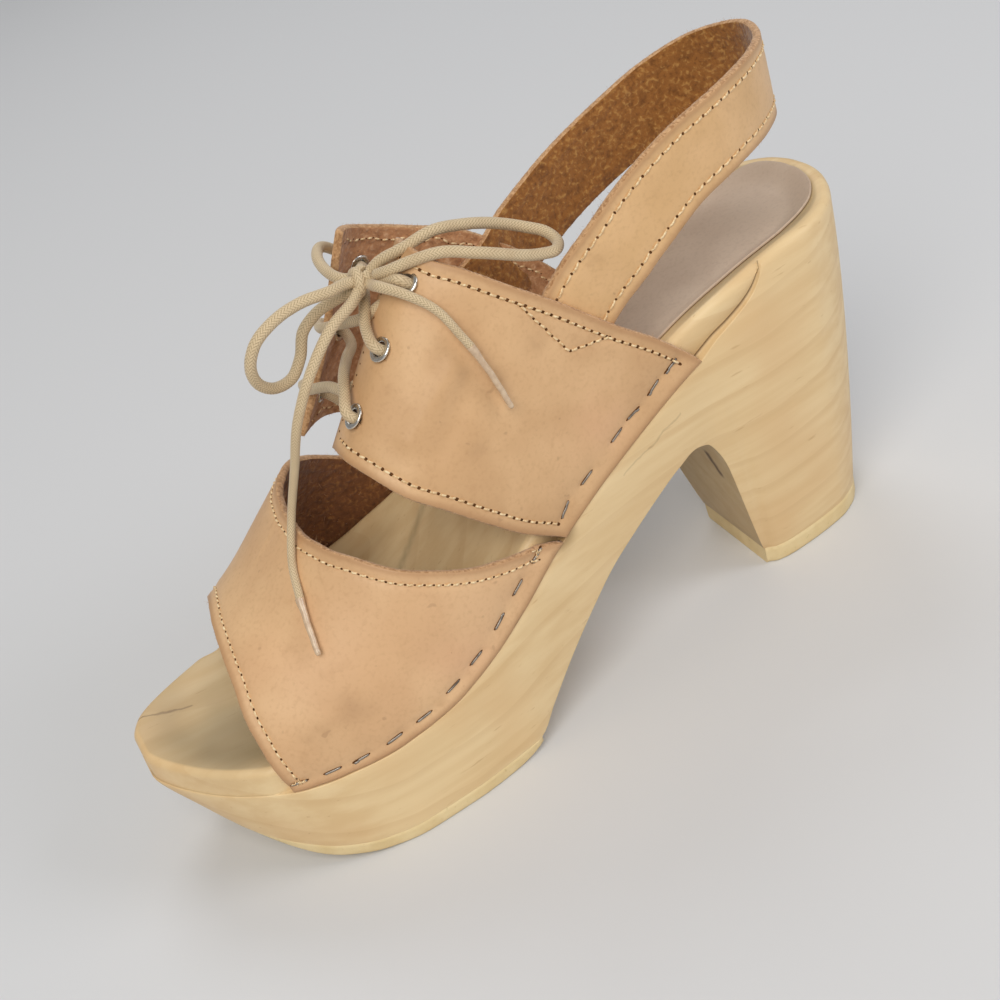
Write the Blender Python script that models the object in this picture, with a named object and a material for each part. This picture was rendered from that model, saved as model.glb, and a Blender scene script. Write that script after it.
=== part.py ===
"""Clog sandal for the left foot: a carved wooden sole with a block heel, a peep-toe vamp,
a laced instep band in two quarters and a sling strap round the heel.

Sizes are in millimetres until a mesh is made, and the scene is in metres. The toe points along -X,
the outer side of the foot is -Y, +Z is up and the floor is z = 0.
"""

import math

import bmesh
import bpy
import numpy as np
from mathutils import Matrix, Vector

MM = 0.001

# Driving dimensions
HALF_LENGTH = 123.2  # of the sole, seen from above
LEATHER = 2.2  # wall of the vamp, the quarters and the sling
GAP = 0.3  # clearance between pieces that meet
REBATE_DEPTH = 2.6  # step cut round the sole's edge, where the leather is stapled
LEATHER_SEAT = 1.8  # how far the leather's inner face stands in from the sole's outline
LEDGE_GAP = 0.4  # between the leather's lower edge and the ledge of the rebate
LEDGE_SLOPE = 0.3
RIM_ROUND = 3.0  # rounding of the footbed's rim
UNDER_ROUND = 1.2  # rounding of the lower edge
FOOTBED_RIM = 4.0  # flat part of the rim, then the dish begins
FOOTBED_EASE = 15.0
TREAD = 4.5  # forefoot rubber
HEEL_LIFT = 6.0  # rubber under the heel
RUBBER_INSET = 0.3  # of the rubber from the wood's lower edge
SOCK = 1.4  # heel sock
SOCK_GAP = 0.6
SOCK_INSET = 9.5
SOCK_FRONT = 20.0
SLING_WIDTH = 22.0
SLING_BITE = 1.0  # how far the sewn ends of the sling and the wall of a quarter go into each other
SLING_SEWN = (26.0, 42.0)  # the sling leaves the quarter between these places along the foot
VAMP_COLUMNS, VAMP_ROWS = 17, 9
QUARTER_COLUMNS, QUARTER_ROWS = 17, 9
SLING_COLUMNS, SLING_ROWS = 41, 3
SOLE_STATIONS = 47
SECTION_POINTS, OUTLINE_POINTS, ROUTE_POINTS = 200, 500, 24  # of the curves that shapes are read from
FOOT_DEPTH = 25.0  # from the middle of a leather panel down to a point inside the shoe
LACE_DIAMETER = 3.0
AGLET_DIAMETER = 2.8
EYELET_HOLE = 1.9  # radius of the hole the lace passes
EYELET_BARREL = 2.4
EYELET_FLANGE = 3.5
EYELET_FLANGE_HEIGHT = 0.9
EYELET_FLANGE_ROUND = 0.5
EYELET_BACK = 1.0  # how far the barrel comes out behind the leather
EYELET_SIDES, DRILL_SIDES = 14, 16
DRILL_REACH = 4.0
KNOT_CENTRE = (-17.0, -6.0, 137.6)
KNOT_HALF_SIZE = (4.6, 3.6, 3.4)
KNOT_SIDES, KNOT_RINGS = 12, 7


def columns(names, rows):
    """The columns of a short table, by name."""
    return {name: [row[i] for row in rows] for i, name in enumerate(names)}


def smooth(xs, ys):
    """A function of x: the monotone cubic through the points."""
    xs, ys = np.array(xs, float), np.array(ys, float)
    step, rise = np.diff(xs), np.diff(ys) / np.diff(xs)
    slope = np.zeros(len(xs))
    slope[0], slope[-1] = rise[0], rise[-1]
    for i in range(1, len(xs) - 1):
        if rise[i - 1] * rise[i] > 0:
            a, b = 2 * step[i] + step[i - 1], step[i] + 2 * step[i - 1]
            slope[i] = (a + b) / (a / rise[i - 1] + b / rise[i])

    def value(x):
        x = np.clip(x, xs[0], xs[-1])
        i = np.clip(np.searchsorted(xs, x, side="right") - 1, 0, len(xs) - 2)
        t = (x - xs[i]) / step[i]
        return (
            ys[i] * (1 + 2 * t) * (1 - t) ** 2
            + slope[i] * step[i] * t * (1 - t) ** 2
            + ys[i + 1] * t * t * (3 - 2 * t)
            + slope[i + 1] * step[i] * t * t * (t - 1)
        )

    return value


def by_x(table, column):
    return smooth(table["x"], table[column])


# The sole seen from above: where its outer and inner sides are at each place along the foot.
PLAN = columns(
    ("x", "outer", "inner"),
    [
        (-123.2, 0.0, 9.0),
        (-122.2, -4.5, 13.0),
        (-120.0, -9.0, 17.0),
        (-116.2, -15.0, 20.6),
        (-110.0, -22.8, 24.4),
        (-100.5, -31.2, 28.8),
        (-90.0, -37.6, 33.0),
        (-78.0, -41.8, 37.8),
        (-64.0, -43.8, 42.0),
        (-50.0, -43.6, 43.4),
        (-36.0, -42.0, 41.5),
        (-20.0, -39.2, 37.0),
        (0.0, -35.8, 31.2),
        (20.0, -33.3, 28.0),
        (40.0, -32.0, 27.2),
        (60.0, -31.5, 28.2),
        (80.0, -31.0, 29.8),
        (95.0, -29.8, 29.6),
        (104.0, -26.8, 28.2),
        (111.5, -21.8, 25.2),
        (117.0, -15.0, 21.4),
        (120.8, -7.8, 16.6),
        (122.6, -2.0, 11.4),
        (123.2, 2.6, 6.6),
    ],
)


def round_ended(column):
    """One side of the plan, smooth in an angle along the foot, so that the sole's two ends are round."""
    angle = smooth(np.arcsin(np.array(PLAN["x"]) / HALF_LENGTH), PLAN[column])
    return lambda x: angle(np.arcsin(np.clip(x / HALF_LENGTH, -1, 1)))


outer_side, inner_side = round_ended("outer"), round_ended("inner")

# The sole seen from the side: its rim, how far down the rebate goes and how deep the footbed is dished.
SIDE = columns(
    ("x", "rim", "rebate", "dish"),
    [
        (-123.2, 42.0, 8.0, 0.8),
        (-105.0, 40.6, 8.2, 1.0),
        (-92.0, 40.0, 8.6, 1.4),
        (-78.0, 41.0, 9.2, 2.0),
        (-62.0, 42.4, 10.0, 2.5),
        (-45.0, 45.6, 10.6, 2.5),
        (-30.0, 51.0, 10.8, 2.2),
        (-17.0, 57.5, 10.6, 2.0),
        (-4.0, 65.2, 10.2, 2.0),
        (14.0, 75.3, 11.0, 2.2),
        (32.0, 84.0, 11.5, 2.6),
        (58.0, 94.3, 11.0, 3.2),
        (72.0, 98.2, 11.0, 3.8),
        (84.0, 100.8, 11.0, 4.2),
        (96.0, 102.2, 11.0, 4.4),
        (123.2, 102.8, 11.0, 4.4),
    ],
)
rim_height, rebate_height, dish_depth = (by_x(SIDE, c) for c in ("rim", "rebate", "dish"))

# The wood's underside: how far it is shifted along the foot, its height, and its inset from the plan.
UNDER = columns(
    ("x", "shift", "height", "inset"),
    [
        (-123.2, 0.0, 26.0, 4.0),
        (-116.0, 0.0, 20.0, 3.6),
        (-108.0, 0.0, 14.6, 3.0),
        (-98.0, 0.0, 9.8, 2.4),
        (-88.0, 0.0, 6.6, 1.8),
        (-78.0, 0.0, 5.0, 1.4),
        (-69.0, 0.0, 4.5, 1.2),
        (-27.0, 0.0, 4.5, 1.2),
        (-25.0, 0.0, 5.0, 1.4),
        (-19.0, 0.0, 10.6, 1.8),
        (-8.0, 0.0, 20.8, 2.0),
        (3.0, 0.0, 30.2, 2.0),
        (13.0, 0.0, 38.0, 2.0),
        (22.0, 0.0, 43.5, 2.0),
        (32.0, 0.0, 49.3, 2.0),
        (42.0, 0.0, 54.6, 2.0),
        (48.0, 0.0, 56.8, 2.2),
        (52.0, 0.0, 55.8, 2.6),
        (55.0, 0.0, 51.5, 3.2),
        (57.0, 0.6, 44.0, 4.0),
        (59.0, 6.0, 6.0, 9.0),
        (64.0, 4.5, 6.0, 7.0),
        (72.0, 2.5, 6.0, 6.2),
        (100.0, 0.0, 6.0, 7.5),
        (123.2, 0.0, 6.0, 11.0),
    ],
)
under_shift, under_height, under_inset = (by_x(UNDER, c) for c in ("shift", "height", "inset"))
# The heel's inner side stands in further at its foot, most at the front.
HEEL_INNER = columns(("x", "inset"), [(56.5, 0.0), (59.0, 7.5), (64.0, 4.6), (72.0, 2.4), (100.0, 0.0)])
inner_inset = by_x(HEEL_INNER, "inset")
REBATE_END = (70.0, 84.0)  # the rebate runs out between these places along the foot
TREAD_ENDS = (-113.5, -25.5)
HEEL_FRONT = 59.0

# The foot's form above the sole: the ridge that each half of its section rises to and how square it is.
# The inner half of the instep band stands steeper than the outer one.
FORM = columns(
    ("x", "outer", "inner", "ridge_y", "power"),
    [
        (-98.0, 58.5, 58.5, 2.0, 2.2),
        (-88.0, 64.0, 64.0, 2.0, 2.2),
        (-75.0, 70.6, 70.6, 2.0, 2.2),
        (-60.0, 82.2, 82.2, 1.5, 2.2),
        (-43.0, 103.0, 97.0, 1.0, 2.3),
        (-28.0, 121.5, 118.0, 0.5, 2.4),
        (-8.0, 145.5, 154.0, 0.0, 2.5),
        (15.0, 171.0, 183.0, 0.0, 2.5),
        (60.0, 212.0, 222.0, 0.0, 2.5),
    ],
)
ridge_y, section_power = by_x(FORM, "ridge_y"), by_x(FORM, "power")
SIDES = {
    "outer": {"plan": outer_side, "ridge": by_x(FORM, "outer"), "inward": 1},
    "inner": {"plan": inner_side, "ridge": by_x(FORM, "inner"), "inward": -1},
}


def rebate_depth(x):
    """How deep the rebate is: full under the leather and run out behind the quarters."""
    t = np.clip((x - REBATE_END[0]) / (REBATE_END[1] - REBATE_END[0]), 0, 1)
    return REBATE_DEPTH * (1 - t * t * (3 - 2 * t))


def edge_of_leather(x, side):
    """The height of the leather's lower edge at x and where its inner face is there, on one side of the sole."""
    plan, inward = SIDES[side]["plan"], SIDES[side]["inward"]
    slope = plan(x + 0.5) - plan(x - 0.5)
    return rim_height(x) - rebate_height(x) + LEDGE_GAP, plan(x) + inward * LEATHER_SEAT * np.hypot(1, slope)


def half_section(x, side):
    """The upper's inner face on one side of the foot at x, from the sole's edge up to the ridge."""
    low, base = edge_of_leather(x, side)
    high, middle, power = SIDES[side]["ridge"](x), ridge_y(x), section_power(x)
    angle = np.linspace(0, math.pi / 2, SECTION_POINTS)
    y = middle + (base - middle) * np.cos(angle) ** (2 / power)
    z = low + (high - low) * np.sin(angle) ** (2 / power)
    return np.stack([y, z], 1)


def on_form(x, share, side):
    """The point of the upper's inner face at x, at a share of the way from the sole's edge to the ridge."""
    line = half_section(x, side)
    along = np.concatenate([[0], np.cumsum(np.linalg.norm(np.diff(line, axis=0), axis=1))])
    y, z = (np.interp(share * along[-1], along, line[:, k]) for k in range(2))
    return np.array([x, y, z])


# Edges of the leather panels along the foot, by share of the way from the sole's edge to the ridge.
VAMP = columns(
    ("share", "toe_outer", "toe_inner", "topline_outer", "topline_inner"),
    [
        (0.0, -92.5, -89.0, -3.5, -4.0),
        (0.09, -93.4, -89.2, -12.0, -12.0),
        (0.25, -94.1, -89.4, -27.0, -25.5),
        (0.37, -94.1, -88.9, -37.0, -33.5),
        (0.48, -93.5, -88.0, -45.0, -39.5),
        (0.6, -92.2, -86.9, -51.0, -45.2),
        (0.72, -91.0, -86.3, -55.5, -50.5),
        (0.87, -89.4, -86.8, -58.0, -55.8),
        (1.0, -88.0, -88.0, -57.8, -57.8),
    ],
)
QUARTER = columns(
    ("share", "outer_lower", "outer_upper", "inner_lower", "inner_upper"),
    [
        (0.0, 1.0, 55.5, 1.0, 56.5),
        (0.13, -9.0, 44.6, -7.5, 47.0),
        (0.25, -16.4, 34.0, -14.5, 37.5),
        (0.42, -26.5, 21.0, -23.5, 22.5),
        (0.57, -34.8, 10.2, -33.0, 7.8),
        (0.7, -38.8, 2.0, -40.6, -2.6),
        (0.78, -40.3, -2.7, -42.8, -7.6),
        (0.9, -41.3, -6.7, -44.0, -13.4),
    ],
)
# How far up the front edge of each quarter comes at its lower and its upper corner, and its eyelets.
QUARTER_FRONT = {
    "outer": {"lower": 0.845, "upper": 0.885, "eyelets": 0.812, "eyelet_x": (-9.5, -21.5, -34.0)},
    "inner": {"lower": 0.74, "upper": 0.862, "eyelets": 0.675, "eyelet_x": (-8.5, -20.0, -31.5)},
}

# The middle line of the sling, from the outer quarter round the heel to the inner one.
SLING = columns(
    ("x", "y", "z"),
    [
        (16.0, -30.0, 104.5),
        (27.0, -30.0, 113.0),
        (44.0, -31.5, 126.0),
        (62.0, -32.5, 136.0),
        (80.0, -29.5, 139.5),
        (97.0, -20.0, 139.5),
        (109.0, -7.0, 138.5),
        (113.0, 6.0, 138.0),
        (107.0, 18.5, 136.0),
        (94.0, 27.0, 131.5),
        (77.0, 30.5, 125.5),
        (60.0, 31.0, 119.5),
        (44.0, 29.5, 113.0),
        (28.0, 27.0, 106.0),
        (17.0, 26.0, 101.0),
    ],
)


# Points that the lace runs through, chosen by hand. Each crossing is two strands that meet in the throat.
CROSSINGS = {
    "lace_crossing_lower": (
        [(-34.2, -12.5, 114.8), (-31.0, -5.5, 115.0), (-26.0, 6.0, 113.6), (-19.6, 20.5, 112.4)],
        [(-36.2, 17.5, 106.0), (-33.6, 4.0, 110.8), (-31.0, -6.5, 114.2), (-26.0, -10.5, 116.6)],
    ),
    "lace_crossing_upper": (
        [(-22.3, -12.1, 128.6), (-18.6, -6.0, 131.2), (-14.0, 6.0, 131.6), (-9.6, 18.5, 130.2)],
        [(-26.4, 17.0, 120.6), (-23.6, 4.0, 126.6), (-19.6, -6.5, 130.8), (-14.6, -10.6, 132.4)],
    ),
}
CORDS = {
    "lace_loop_back": [
        (-13.2, -7.8, 140.4),
        (-6.1, -10.0, 142.8),
        (1.6, -13.7, 144.4),
        (9.4, -14.8, 142.8),
        (26.2, -13.9, 133.5),
        (29.8, -16.6, 131.2),
        (30.3, -21.3, 129.5),
        (27.3, -25.4, 129.5),
        (22.6, -26.5, 131.1),
        (9.4, -21.6, 136.8),
        (1.0, -17.8, 140.0),
        (-5.7, -12.6, 139.2),
        (-11.6, -8.2, 136.9),
    ],
    "lace_loop_front": [
        (-21.6, -7.6, 139.6),
        (-26.8, -10.0, 140.8),
        (-35.0, -11.0, 142.2),
        (-42.6, -12.0, 141.7),
        (-49.5, -12.0, 138.4),
        (-52.6, -11.0, 133.4),
        (-52.2, -8.5, 127.0),
        (-48.2, -6.0, 122.6),
        (-43.0, -4.0, 122.0),
        (-39.0, -3.2, 125.4),
        (-35.3, -3.0, 131.6),
        (-30.6, -3.0, 134.2),
        (-22.2, -4.6, 136.0),
    ],
    "lace_end_short": [
        (-15.2, -10.6, 137.9),
        (-15.4, -17.4, 142.0),
        (-13.4, -25.2, 140.7),
        (-8.1, -30.6, 132.9),
        (-6.0, -32.7, 125.4),
        (-4.9, -33.8, 121.0),
    ],
    "lace_end_long": [
        (-20.4, -9.4, 136.6),
        (-31.8, -15.2, 134.0),
        (-40.9, -17.0, 127.0),
        (-48.2, -16.0, 117.0),
        (-54.0, -11.5, 102.6),
        (-60.6, -8.6, 88.4),
        (-65.9, -13.4, 80.5),
        (-69.2, -22.2, 74.6),
    ],
    "lace_strand_inner": [
        (-12.0, 27.6, 134.0),
        (-16.2, 23.8, 138.4),
        (-20.2, 16.0, 139.8),
        (-21.6, 8.0, 139.2),
        (-20.1, -2.2, 138.5),
    ],
}
AGLETS = {
    "aglet_short": [(-4.8, -33.9, 120.5), (-3.1, -35.5, 112.9), (-2.2, -36.4, 107.6), (-1.4, -37.0, 102.5)],
    "aglet_long": [(-69.4, -22.7, 74.2), (-70.9, -28.0, 69.6), (-72.1, -33.2, 64.5)],
}
CORD_STEP = 2.0  # length between the points of a cord, in diameters
WELD = 0.001


def wall_y(x, z, side):
    """Where the upper's inner face is at x and at height z, on the outer or the inner side of the foot."""
    low, base = edge_of_leather(x, side)
    power = section_power(x)
    rise = np.clip((z - low) / (SIDES[side]["ridge"](x) - low), 0, 1)
    return ridge_y(x) + (base - ridge_y(x)) * (1 - rise**power) ** (1 / power)


# Stations along the sole, close together at its two round ends and at the breast of the heel.
SPREAD = [-HALF_LENGTH * math.cos(math.pi * i / (SOLE_STATIONS - 1)) for i in range(SOLE_STATIONS)]
BREAST = [50.0, 53.5, 55.2, 56.4, 57.3, 58.2, 59.0]
STATIONS = np.array(sorted([x for x in SPREAD if not 48 < x < 61] + BREAST))
ACROSS = np.array([0.0, 0.04, 0.1, 0.19, 0.32, 0.5, 0.68, 0.81, 0.9, 0.96, 1.0])


def outline(stations, side):
    """The plan points of one side of the sole at the stations and the direction out of the sole there."""
    end = (outer_side(STATIONS[[0, -1]]) + inner_side(STATIONS[[0, -1]])) / 2
    xs = np.concatenate([STATIONS[:1], STATIONS, STATIONS[-1:]])
    ys = np.concatenate([end[:1], side(STATIONS), end[1:]])
    along = np.stack([xs[2:] - xs[:-2], ys[2:] - ys[:-2]], 1)
    along /= np.linalg.norm(along, axis=1, keepdims=True)
    out = np.stack([-along[:, 1], along[:, 0]], 1) * (1 if side is inner_side else -1)
    picked = np.searchsorted(STATIONS, stations)
    return np.stack([stations, side(stations)], 1), out[picked]


def plan_grid(stations, inset, shift=0.0, inner=0.0):
    """Plan points of a grid whose edge stands in from the sole's outline, on the inner side by some more."""
    edges = []
    for side, more in ((outer_side, 0.0), (inner_side, inner)):
        points, out = outline(stations, side)
        edges.append(points - out * np.broadcast_to(inset + more, stations.shape)[:, None])
        edges[-1][:, 0] += shift
    return edges[0][:, None] + (edges[1] - edges[0])[:, None] * ACROSS[None, :, None]


def raised(plan, height):
    """A grid of plan points lifted to heights, one for each point or for each row."""
    height = np.broadcast_to(np.asarray(height).reshape(len(plan), -1), plan.shape[:2])
    return np.concatenate([plan, height[:, :, None]], 2)


def edge_distance(plan):
    """How far plan points are from the sole's outline."""
    dense = np.linspace(-HALF_LENGTH, HALF_LENGTH, OUTLINE_POINTS)
    rim = np.concatenate([np.stack([dense, side(dense)], 1) for side in (outer_side, inner_side)])
    return np.linalg.norm(plan[..., None, :] - rim, axis=-1).min(-1)


def footbed(plan):
    """The height of the footbed, dished inside the rim."""
    x = plan[..., 0]
    t = np.clip((edge_distance(plan) - FOOTBED_RIM) / FOOTBED_EASE, 0, 1)
    return rim_height(x) - dish_depth(x) * t * t * (3 - 2 * t)


def grid_border(rows, cols):
    """The places round the edge of a grid, in order."""
    return (
        [(i, 0) for i in range(rows)]
        + [(rows - 1, j) for j in range(1, cols)]
        + [(i, cols - 1) for i in range(rows - 2, -1, -1)]
        + [(0, j) for j in range(cols - 2, 0, -1)]
    )


def ring_of(grid):
    return np.array([grid[place] for place in grid_border(*grid.shape[:2])])


def closed_skin(name, top, bottom, rings=()):
    """A solid between two grids of the same size, closed round their edges through rings of points."""
    rows, cols = top.shape[:2]
    places = grid_border(rows, cols)
    mesh = bmesh.new()
    layers = [[[mesh.verts.new(p * MM) for p in row] for row in grid] for grid in (top, bottom)]
    for layer in layers:
        for i in range(rows - 1):
            for j in range(cols - 1):
                mesh.faces.new((layer[i][j], layer[i + 1][j], layer[i + 1][j + 1], layer[i][j + 1]))
    loops = [[layers[0][i][j] for i, j in places]]
    loops += [[mesh.verts.new(p * MM) for p in ring] for ring in rings]
    loops.append([layers[1][i][j] for i, j in places])
    for above, below in zip(loops, loops[1:]):
        for k in range(len(places)):
            after = (k + 1) % len(places)
            mesh.faces.new((above[k], above[after], below[after], below[k]))
    return finished(name, mesh)


def finished(name, mesh):
    """The scene object of a closed mesh, with its faces turned outward and cut into triangles."""
    bmesh.ops.triangulate(mesh, faces=mesh.faces)
    bmesh.ops.recalc_face_normals(mesh, faces=mesh.faces)
    data = bpy.data.meshes.new(name)
    mesh.to_mesh(data)
    mesh.free()
    thing = bpy.data.objects.new(name, data)
    bpy.context.scene.collection.objects.link(thing)
    return thing


def paint(thing, material, colour, roughness, metallic=0.0):
    """Give an object a plain material, made once for each name."""
    surface = bpy.data.materials.get(material)
    if surface is None:
        surface = bpy.data.materials.new(material)
        surface.use_nodes = True
        shader = surface.node_tree.nodes["Principled BSDF"]
        shader.inputs["Base Color"].default_value = (*colour, 1.0)
        shader.inputs["Roughness"].default_value = roughness
        shader.inputs["Metallic"].default_value = metallic
    thing.data.materials.append(surface)


def combine(thing, other, operation):
    """Join another solid to this one, or cut it away, and drop the other."""
    step = thing.modifiers.new("combine", "BOOLEAN")
    step.operation = operation
    step.solver = "EXACT"
    step.object = other
    graph = bpy.context.evaluated_depsgraph_get()
    result = bpy.data.meshes.new_from_object(thing.evaluated_get(graph))
    thing.modifiers.clear()
    thing.data = result
    bpy.data.objects.remove(other)


def thickened(name, inner, thickness):
    """A leather panel on a grid of points: the wall stands outward from them by its thickness."""
    across = np.gradient(inner, axis=0)
    along = np.gradient(inner, axis=1)
    out = np.cross(across, along)
    out /= np.linalg.norm(out, axis=2, keepdims=True)
    middle = inner.reshape(-1, 3).mean(0) - np.array([0, 0, FOOT_DEPTH])
    out *= np.sign(((inner - middle) * out).sum(2).mean())
    return closed_skin(name, inner + out * thickness, inner)


def sole():
    """The carved wooden sole, rebated round its edge for the leather."""
    x = STATIONS
    rim, under, inset, shift = rim_height(x), under_height(x), under_inset(x), under_shift(x)
    rebate, ledge = rebate_depth(x), rim - rebate_height(x)
    middle, inner = (ledge + under) / 2, inner_inset(x)

    top_plan = plan_grid(x, rebate + RIM_ROUND)
    top = raised(top_plan, footbed(top_plan))
    wall = [
        (rebate + 0.3 * RIM_ROUND, 0.0, rim - 0.35 * RIM_ROUND),
        (rebate, 0.0, rim - RIM_ROUND),
        (rebate, 0.0, ledge),
        (0.0, 0.0, ledge - LEDGE_SLOPE),
        (0.35 * inset, 0.5 * shift, 0.35 * inner, middle),
        (inset, shift, inner, under + UNDER_ROUND),
    ]
    rings = [ring_of(raised(plan_grid(x, *place), height)) for *place, height in wall]
    bottom = raised(plan_grid(x, inset + UNDER_ROUND, shift, inner), under)
    return closed_skin("sole", top, bottom, rings)


def rubber(name, first, last, thickness):
    """A rubber piece under the wood between two places along the foot."""
    x = STATIONS[(STATIONS >= first) & (STATIONS <= last)]
    plan = plan_grid(x, under_inset(x) + RUBBER_INSET, under_shift(x), inner_inset(x))
    top = raised(plan, under_height(x) - GAP)
    bottom = raised(plan, under_height(x) - thickness)
    return closed_skin(name, top, bottom)


def heel_sock():
    """The thin pad on the footbed from the back of the heel to under the instep."""
    x = STATIONS[STATIONS >= SOCK_FRONT]
    plan = plan_grid(x, SOCK_INSET)
    low = footbed(plan) + SOCK_GAP
    return closed_skin("heel_sock", raised(plan, low + SOCK), raised(plan, low))


def vamp():
    """The front of the upper, open at the toe and above the instep."""
    shares = np.linspace(0, 1, VAMP_COLUMNS)
    grid = []
    for side, order in (("outer", shares), ("inner", shares[-2::-1])):
        toe = smooth(VAMP["share"], VAMP["toe_" + side])(order)
        topline = smooth(VAMP["share"], VAMP["topline_" + side])(order)
        for share, a, b in zip(order, toe, topline):
            grid.append([on_form(a + (b - a) * t, share, side) for t in np.linspace(0, 1, VAMP_ROWS)])
    return thickened("vamp", np.array(grid), LEATHER)


def quarter(name, side):
    """One half of the instep band, from the sole's edge up to its eyelets."""
    front = QUARTER_FRONT[side]
    lower, upper = (smooth(QUARTER["share"], QUARTER[f"{side}_{edge}"]) for edge in ("lower", "upper"))
    grid = []
    for part in np.linspace(0, 1, QUARTER_COLUMNS):
        line = []
        for t in np.linspace(0, 1, QUARTER_ROWS):
            share = part * (front["lower"] + (front["upper"] - front["lower"]) * t)
            x = lower(share) + (upper(share) - lower(share)) * t
            line.append(on_form(x, share, side))
        grid.append(line)
    return thickened(name, np.array(grid), LEATHER)


def rounded_route(points, count):
    """Points along a smooth curve through a route's points, evenly spaced by length."""
    points = np.array(points, float)
    chord = np.concatenate([[0], np.cumsum(np.linalg.norm(np.diff(points, axis=0), axis=1))])
    slope = np.gradient(points, chord, axis=0)
    dense = []
    for i in range(len(points) - 1):
        t = np.linspace(0, 1, ROUTE_POINTS, endpoint=False)[:, None]
        run = chord[i + 1] - chord[i]
        dense.append(
            points[i] * (1 + 2 * t) * (1 - t) ** 2
            + slope[i] * run * t * (1 - t) ** 2
            + points[i + 1] * t * t * (3 - 2 * t)
            + slope[i + 1] * run * t * t * (t - 1)
        )
    dense = np.concatenate([*dense, points[-1:]])
    along = np.concatenate([[0], np.cumsum(np.linalg.norm(np.diff(dense, axis=0), axis=1))])
    at = np.linspace(0, along[-1], count)
    return np.stack([np.interp(at, along, dense[:, k]) for k in range(3)], 1)


def sling():
    """The strap round the heel. Its ends lie against the insides of the quarters and are sewn there."""
    route = rounded_route(list(zip(SLING["x"], SLING["y"], SLING["z"])), SLING_COLUMNS)
    along = np.gradient(route, axis=0)
    along /= np.linalg.norm(along, axis=1, keepdims=True)
    out = np.stack([along[:, 1], -along[:, 0], np.zeros(len(along))], 1)
    out /= np.linalg.norm(out, axis=1, keepdims=True)
    up = np.cross(along, out)
    up *= np.sign(up[:, 2:3])
    share = np.linspace(-0.5, 0.5, SLING_ROWS) * SLING_WIDTH
    middle = route[:, None] + up[:, None] * share[None, :, None]
    outside = middle + out[:, None] * LEATHER / 2
    inside = middle - out[:, None] * LEATHER / 2
    for i in range(len(route)):
        side = "outer" if route[i, 1] < 0 else "inner"
        t = np.clip((route[i, 0] - SLING_SEWN[0]) / (SLING_SEWN[1] - SLING_SEWN[0]), 0, 1)
        held = 1 - t * t * (3 - 2 * t)
        for grid, depth in ((outside, -SLING_BITE), (inside, LEATHER - SLING_BITE)):
            on_wall = wall_y(grid[i, :, 0], grid[i, :, 2], side) + SIDES[side]["inward"] * depth
            grid[i, :, 1] += held * (on_wall - grid[i, :, 1])
    return closed_skin("sling", outside, inside)


def eyelet_frame(x, share, side):
    """The place of an eyelet on the outer face of a quarter, with its axis pointing out of the leather."""
    along = on_form(x + 1, share, side) - on_form(x - 1, share, side)
    around = on_form(x, share + 0.02, side) - on_form(x, share - 0.02, side)
    out = Vector(np.cross(along, around)).normalized()
    out = out if out.z > 0 else -out
    turn = Vector((0, 0, 1)).rotation_difference(out).to_matrix().to_4x4()
    return Matrix.Translation((Vector(on_form(x, share, side)) + out * LEATHER) * MM) @ turn


def eyelet(name, frame):
    """A turned metal eyelet: a flange on the leather's face and a barrel through it."""
    profile = [
        (EYELET_HOLE, -LEATHER - EYELET_BACK),
        (EYELET_HOLE, EYELET_FLANGE_HEIGHT),
        (EYELET_BARREL, EYELET_FLANGE_HEIGHT + GAP),
        (EYELET_FLANGE - EYELET_FLANGE_ROUND, EYELET_FLANGE_HEIGHT),
        (EYELET_FLANGE, GAP),
        (EYELET_BARREL, GAP),
        (EYELET_BARREL, -LEATHER - EYELET_BACK),
    ]
    mesh = bmesh.new()
    rings = []
    for k in range(EYELET_SIDES):
        turn = 2 * math.pi * k / EYELET_SIDES
        c, s = math.cos(turn), math.sin(turn)
        rings.append([mesh.verts.new(frame @ (Vector((r * c, r * s, h)) * MM)) for r, h in profile])
    for here, after in zip(rings, rings[1:] + rings[:1]):
        for m in range(len(profile)):
            n = (m + 1) % len(profile)
            mesh.faces.new((here[m], after[m], after[n], here[n]))
    return finished(name, mesh)


def pin(name, radius, reach, frame):
    """A round pin through the leather, reaching past it on both sides."""
    mesh = bmesh.new()
    size = {"radius1": radius * MM, "radius2": radius * MM, "depth": 2 * reach * MM}
    bmesh.ops.create_cone(mesh, cap_ends=True, segments=DRILL_SIDES, **size)
    mesh.transform(frame @ Matrix.Translation((0, 0, -LEATHER / 2 * MM)))
    return finished(name, mesh)


def cord(name, points, diameter):
    """A round cord through a route's points."""
    length = np.linalg.norm(np.diff(np.array(points), axis=0), axis=1).sum()
    route = rounded_route(points, max(3, round(length / (CORD_STEP * diameter)) + 1))
    curve = bpy.data.curves.new(name, "CURVE")
    curve.dimensions = "3D"
    curve.bevel_depth = diameter / 2 * MM
    curve.bevel_resolution = 2
    curve.use_fill_caps = True
    spline = curve.splines.new("POLY")
    spline.points.add(len(route) - 1)
    for place, point in zip(spline.points, route):
        place.co = (*(point * MM), 1.0)
    thing = bpy.data.objects.new(name, curve)
    bpy.context.scene.collection.objects.link(thing)
    return thing


def meshed(thing):
    """A mesh object in place of a cord."""
    name = thing.name
    graph = bpy.context.evaluated_depsgraph_get()
    mesh = bmesh.new()
    mesh.from_mesh(thing.evaluated_get(graph).to_mesh())
    bmesh.ops.remove_doubles(mesh, verts=mesh.verts, dist=WELD * MM)
    bpy.data.objects.remove(thing)
    return finished(name, mesh)


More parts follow.
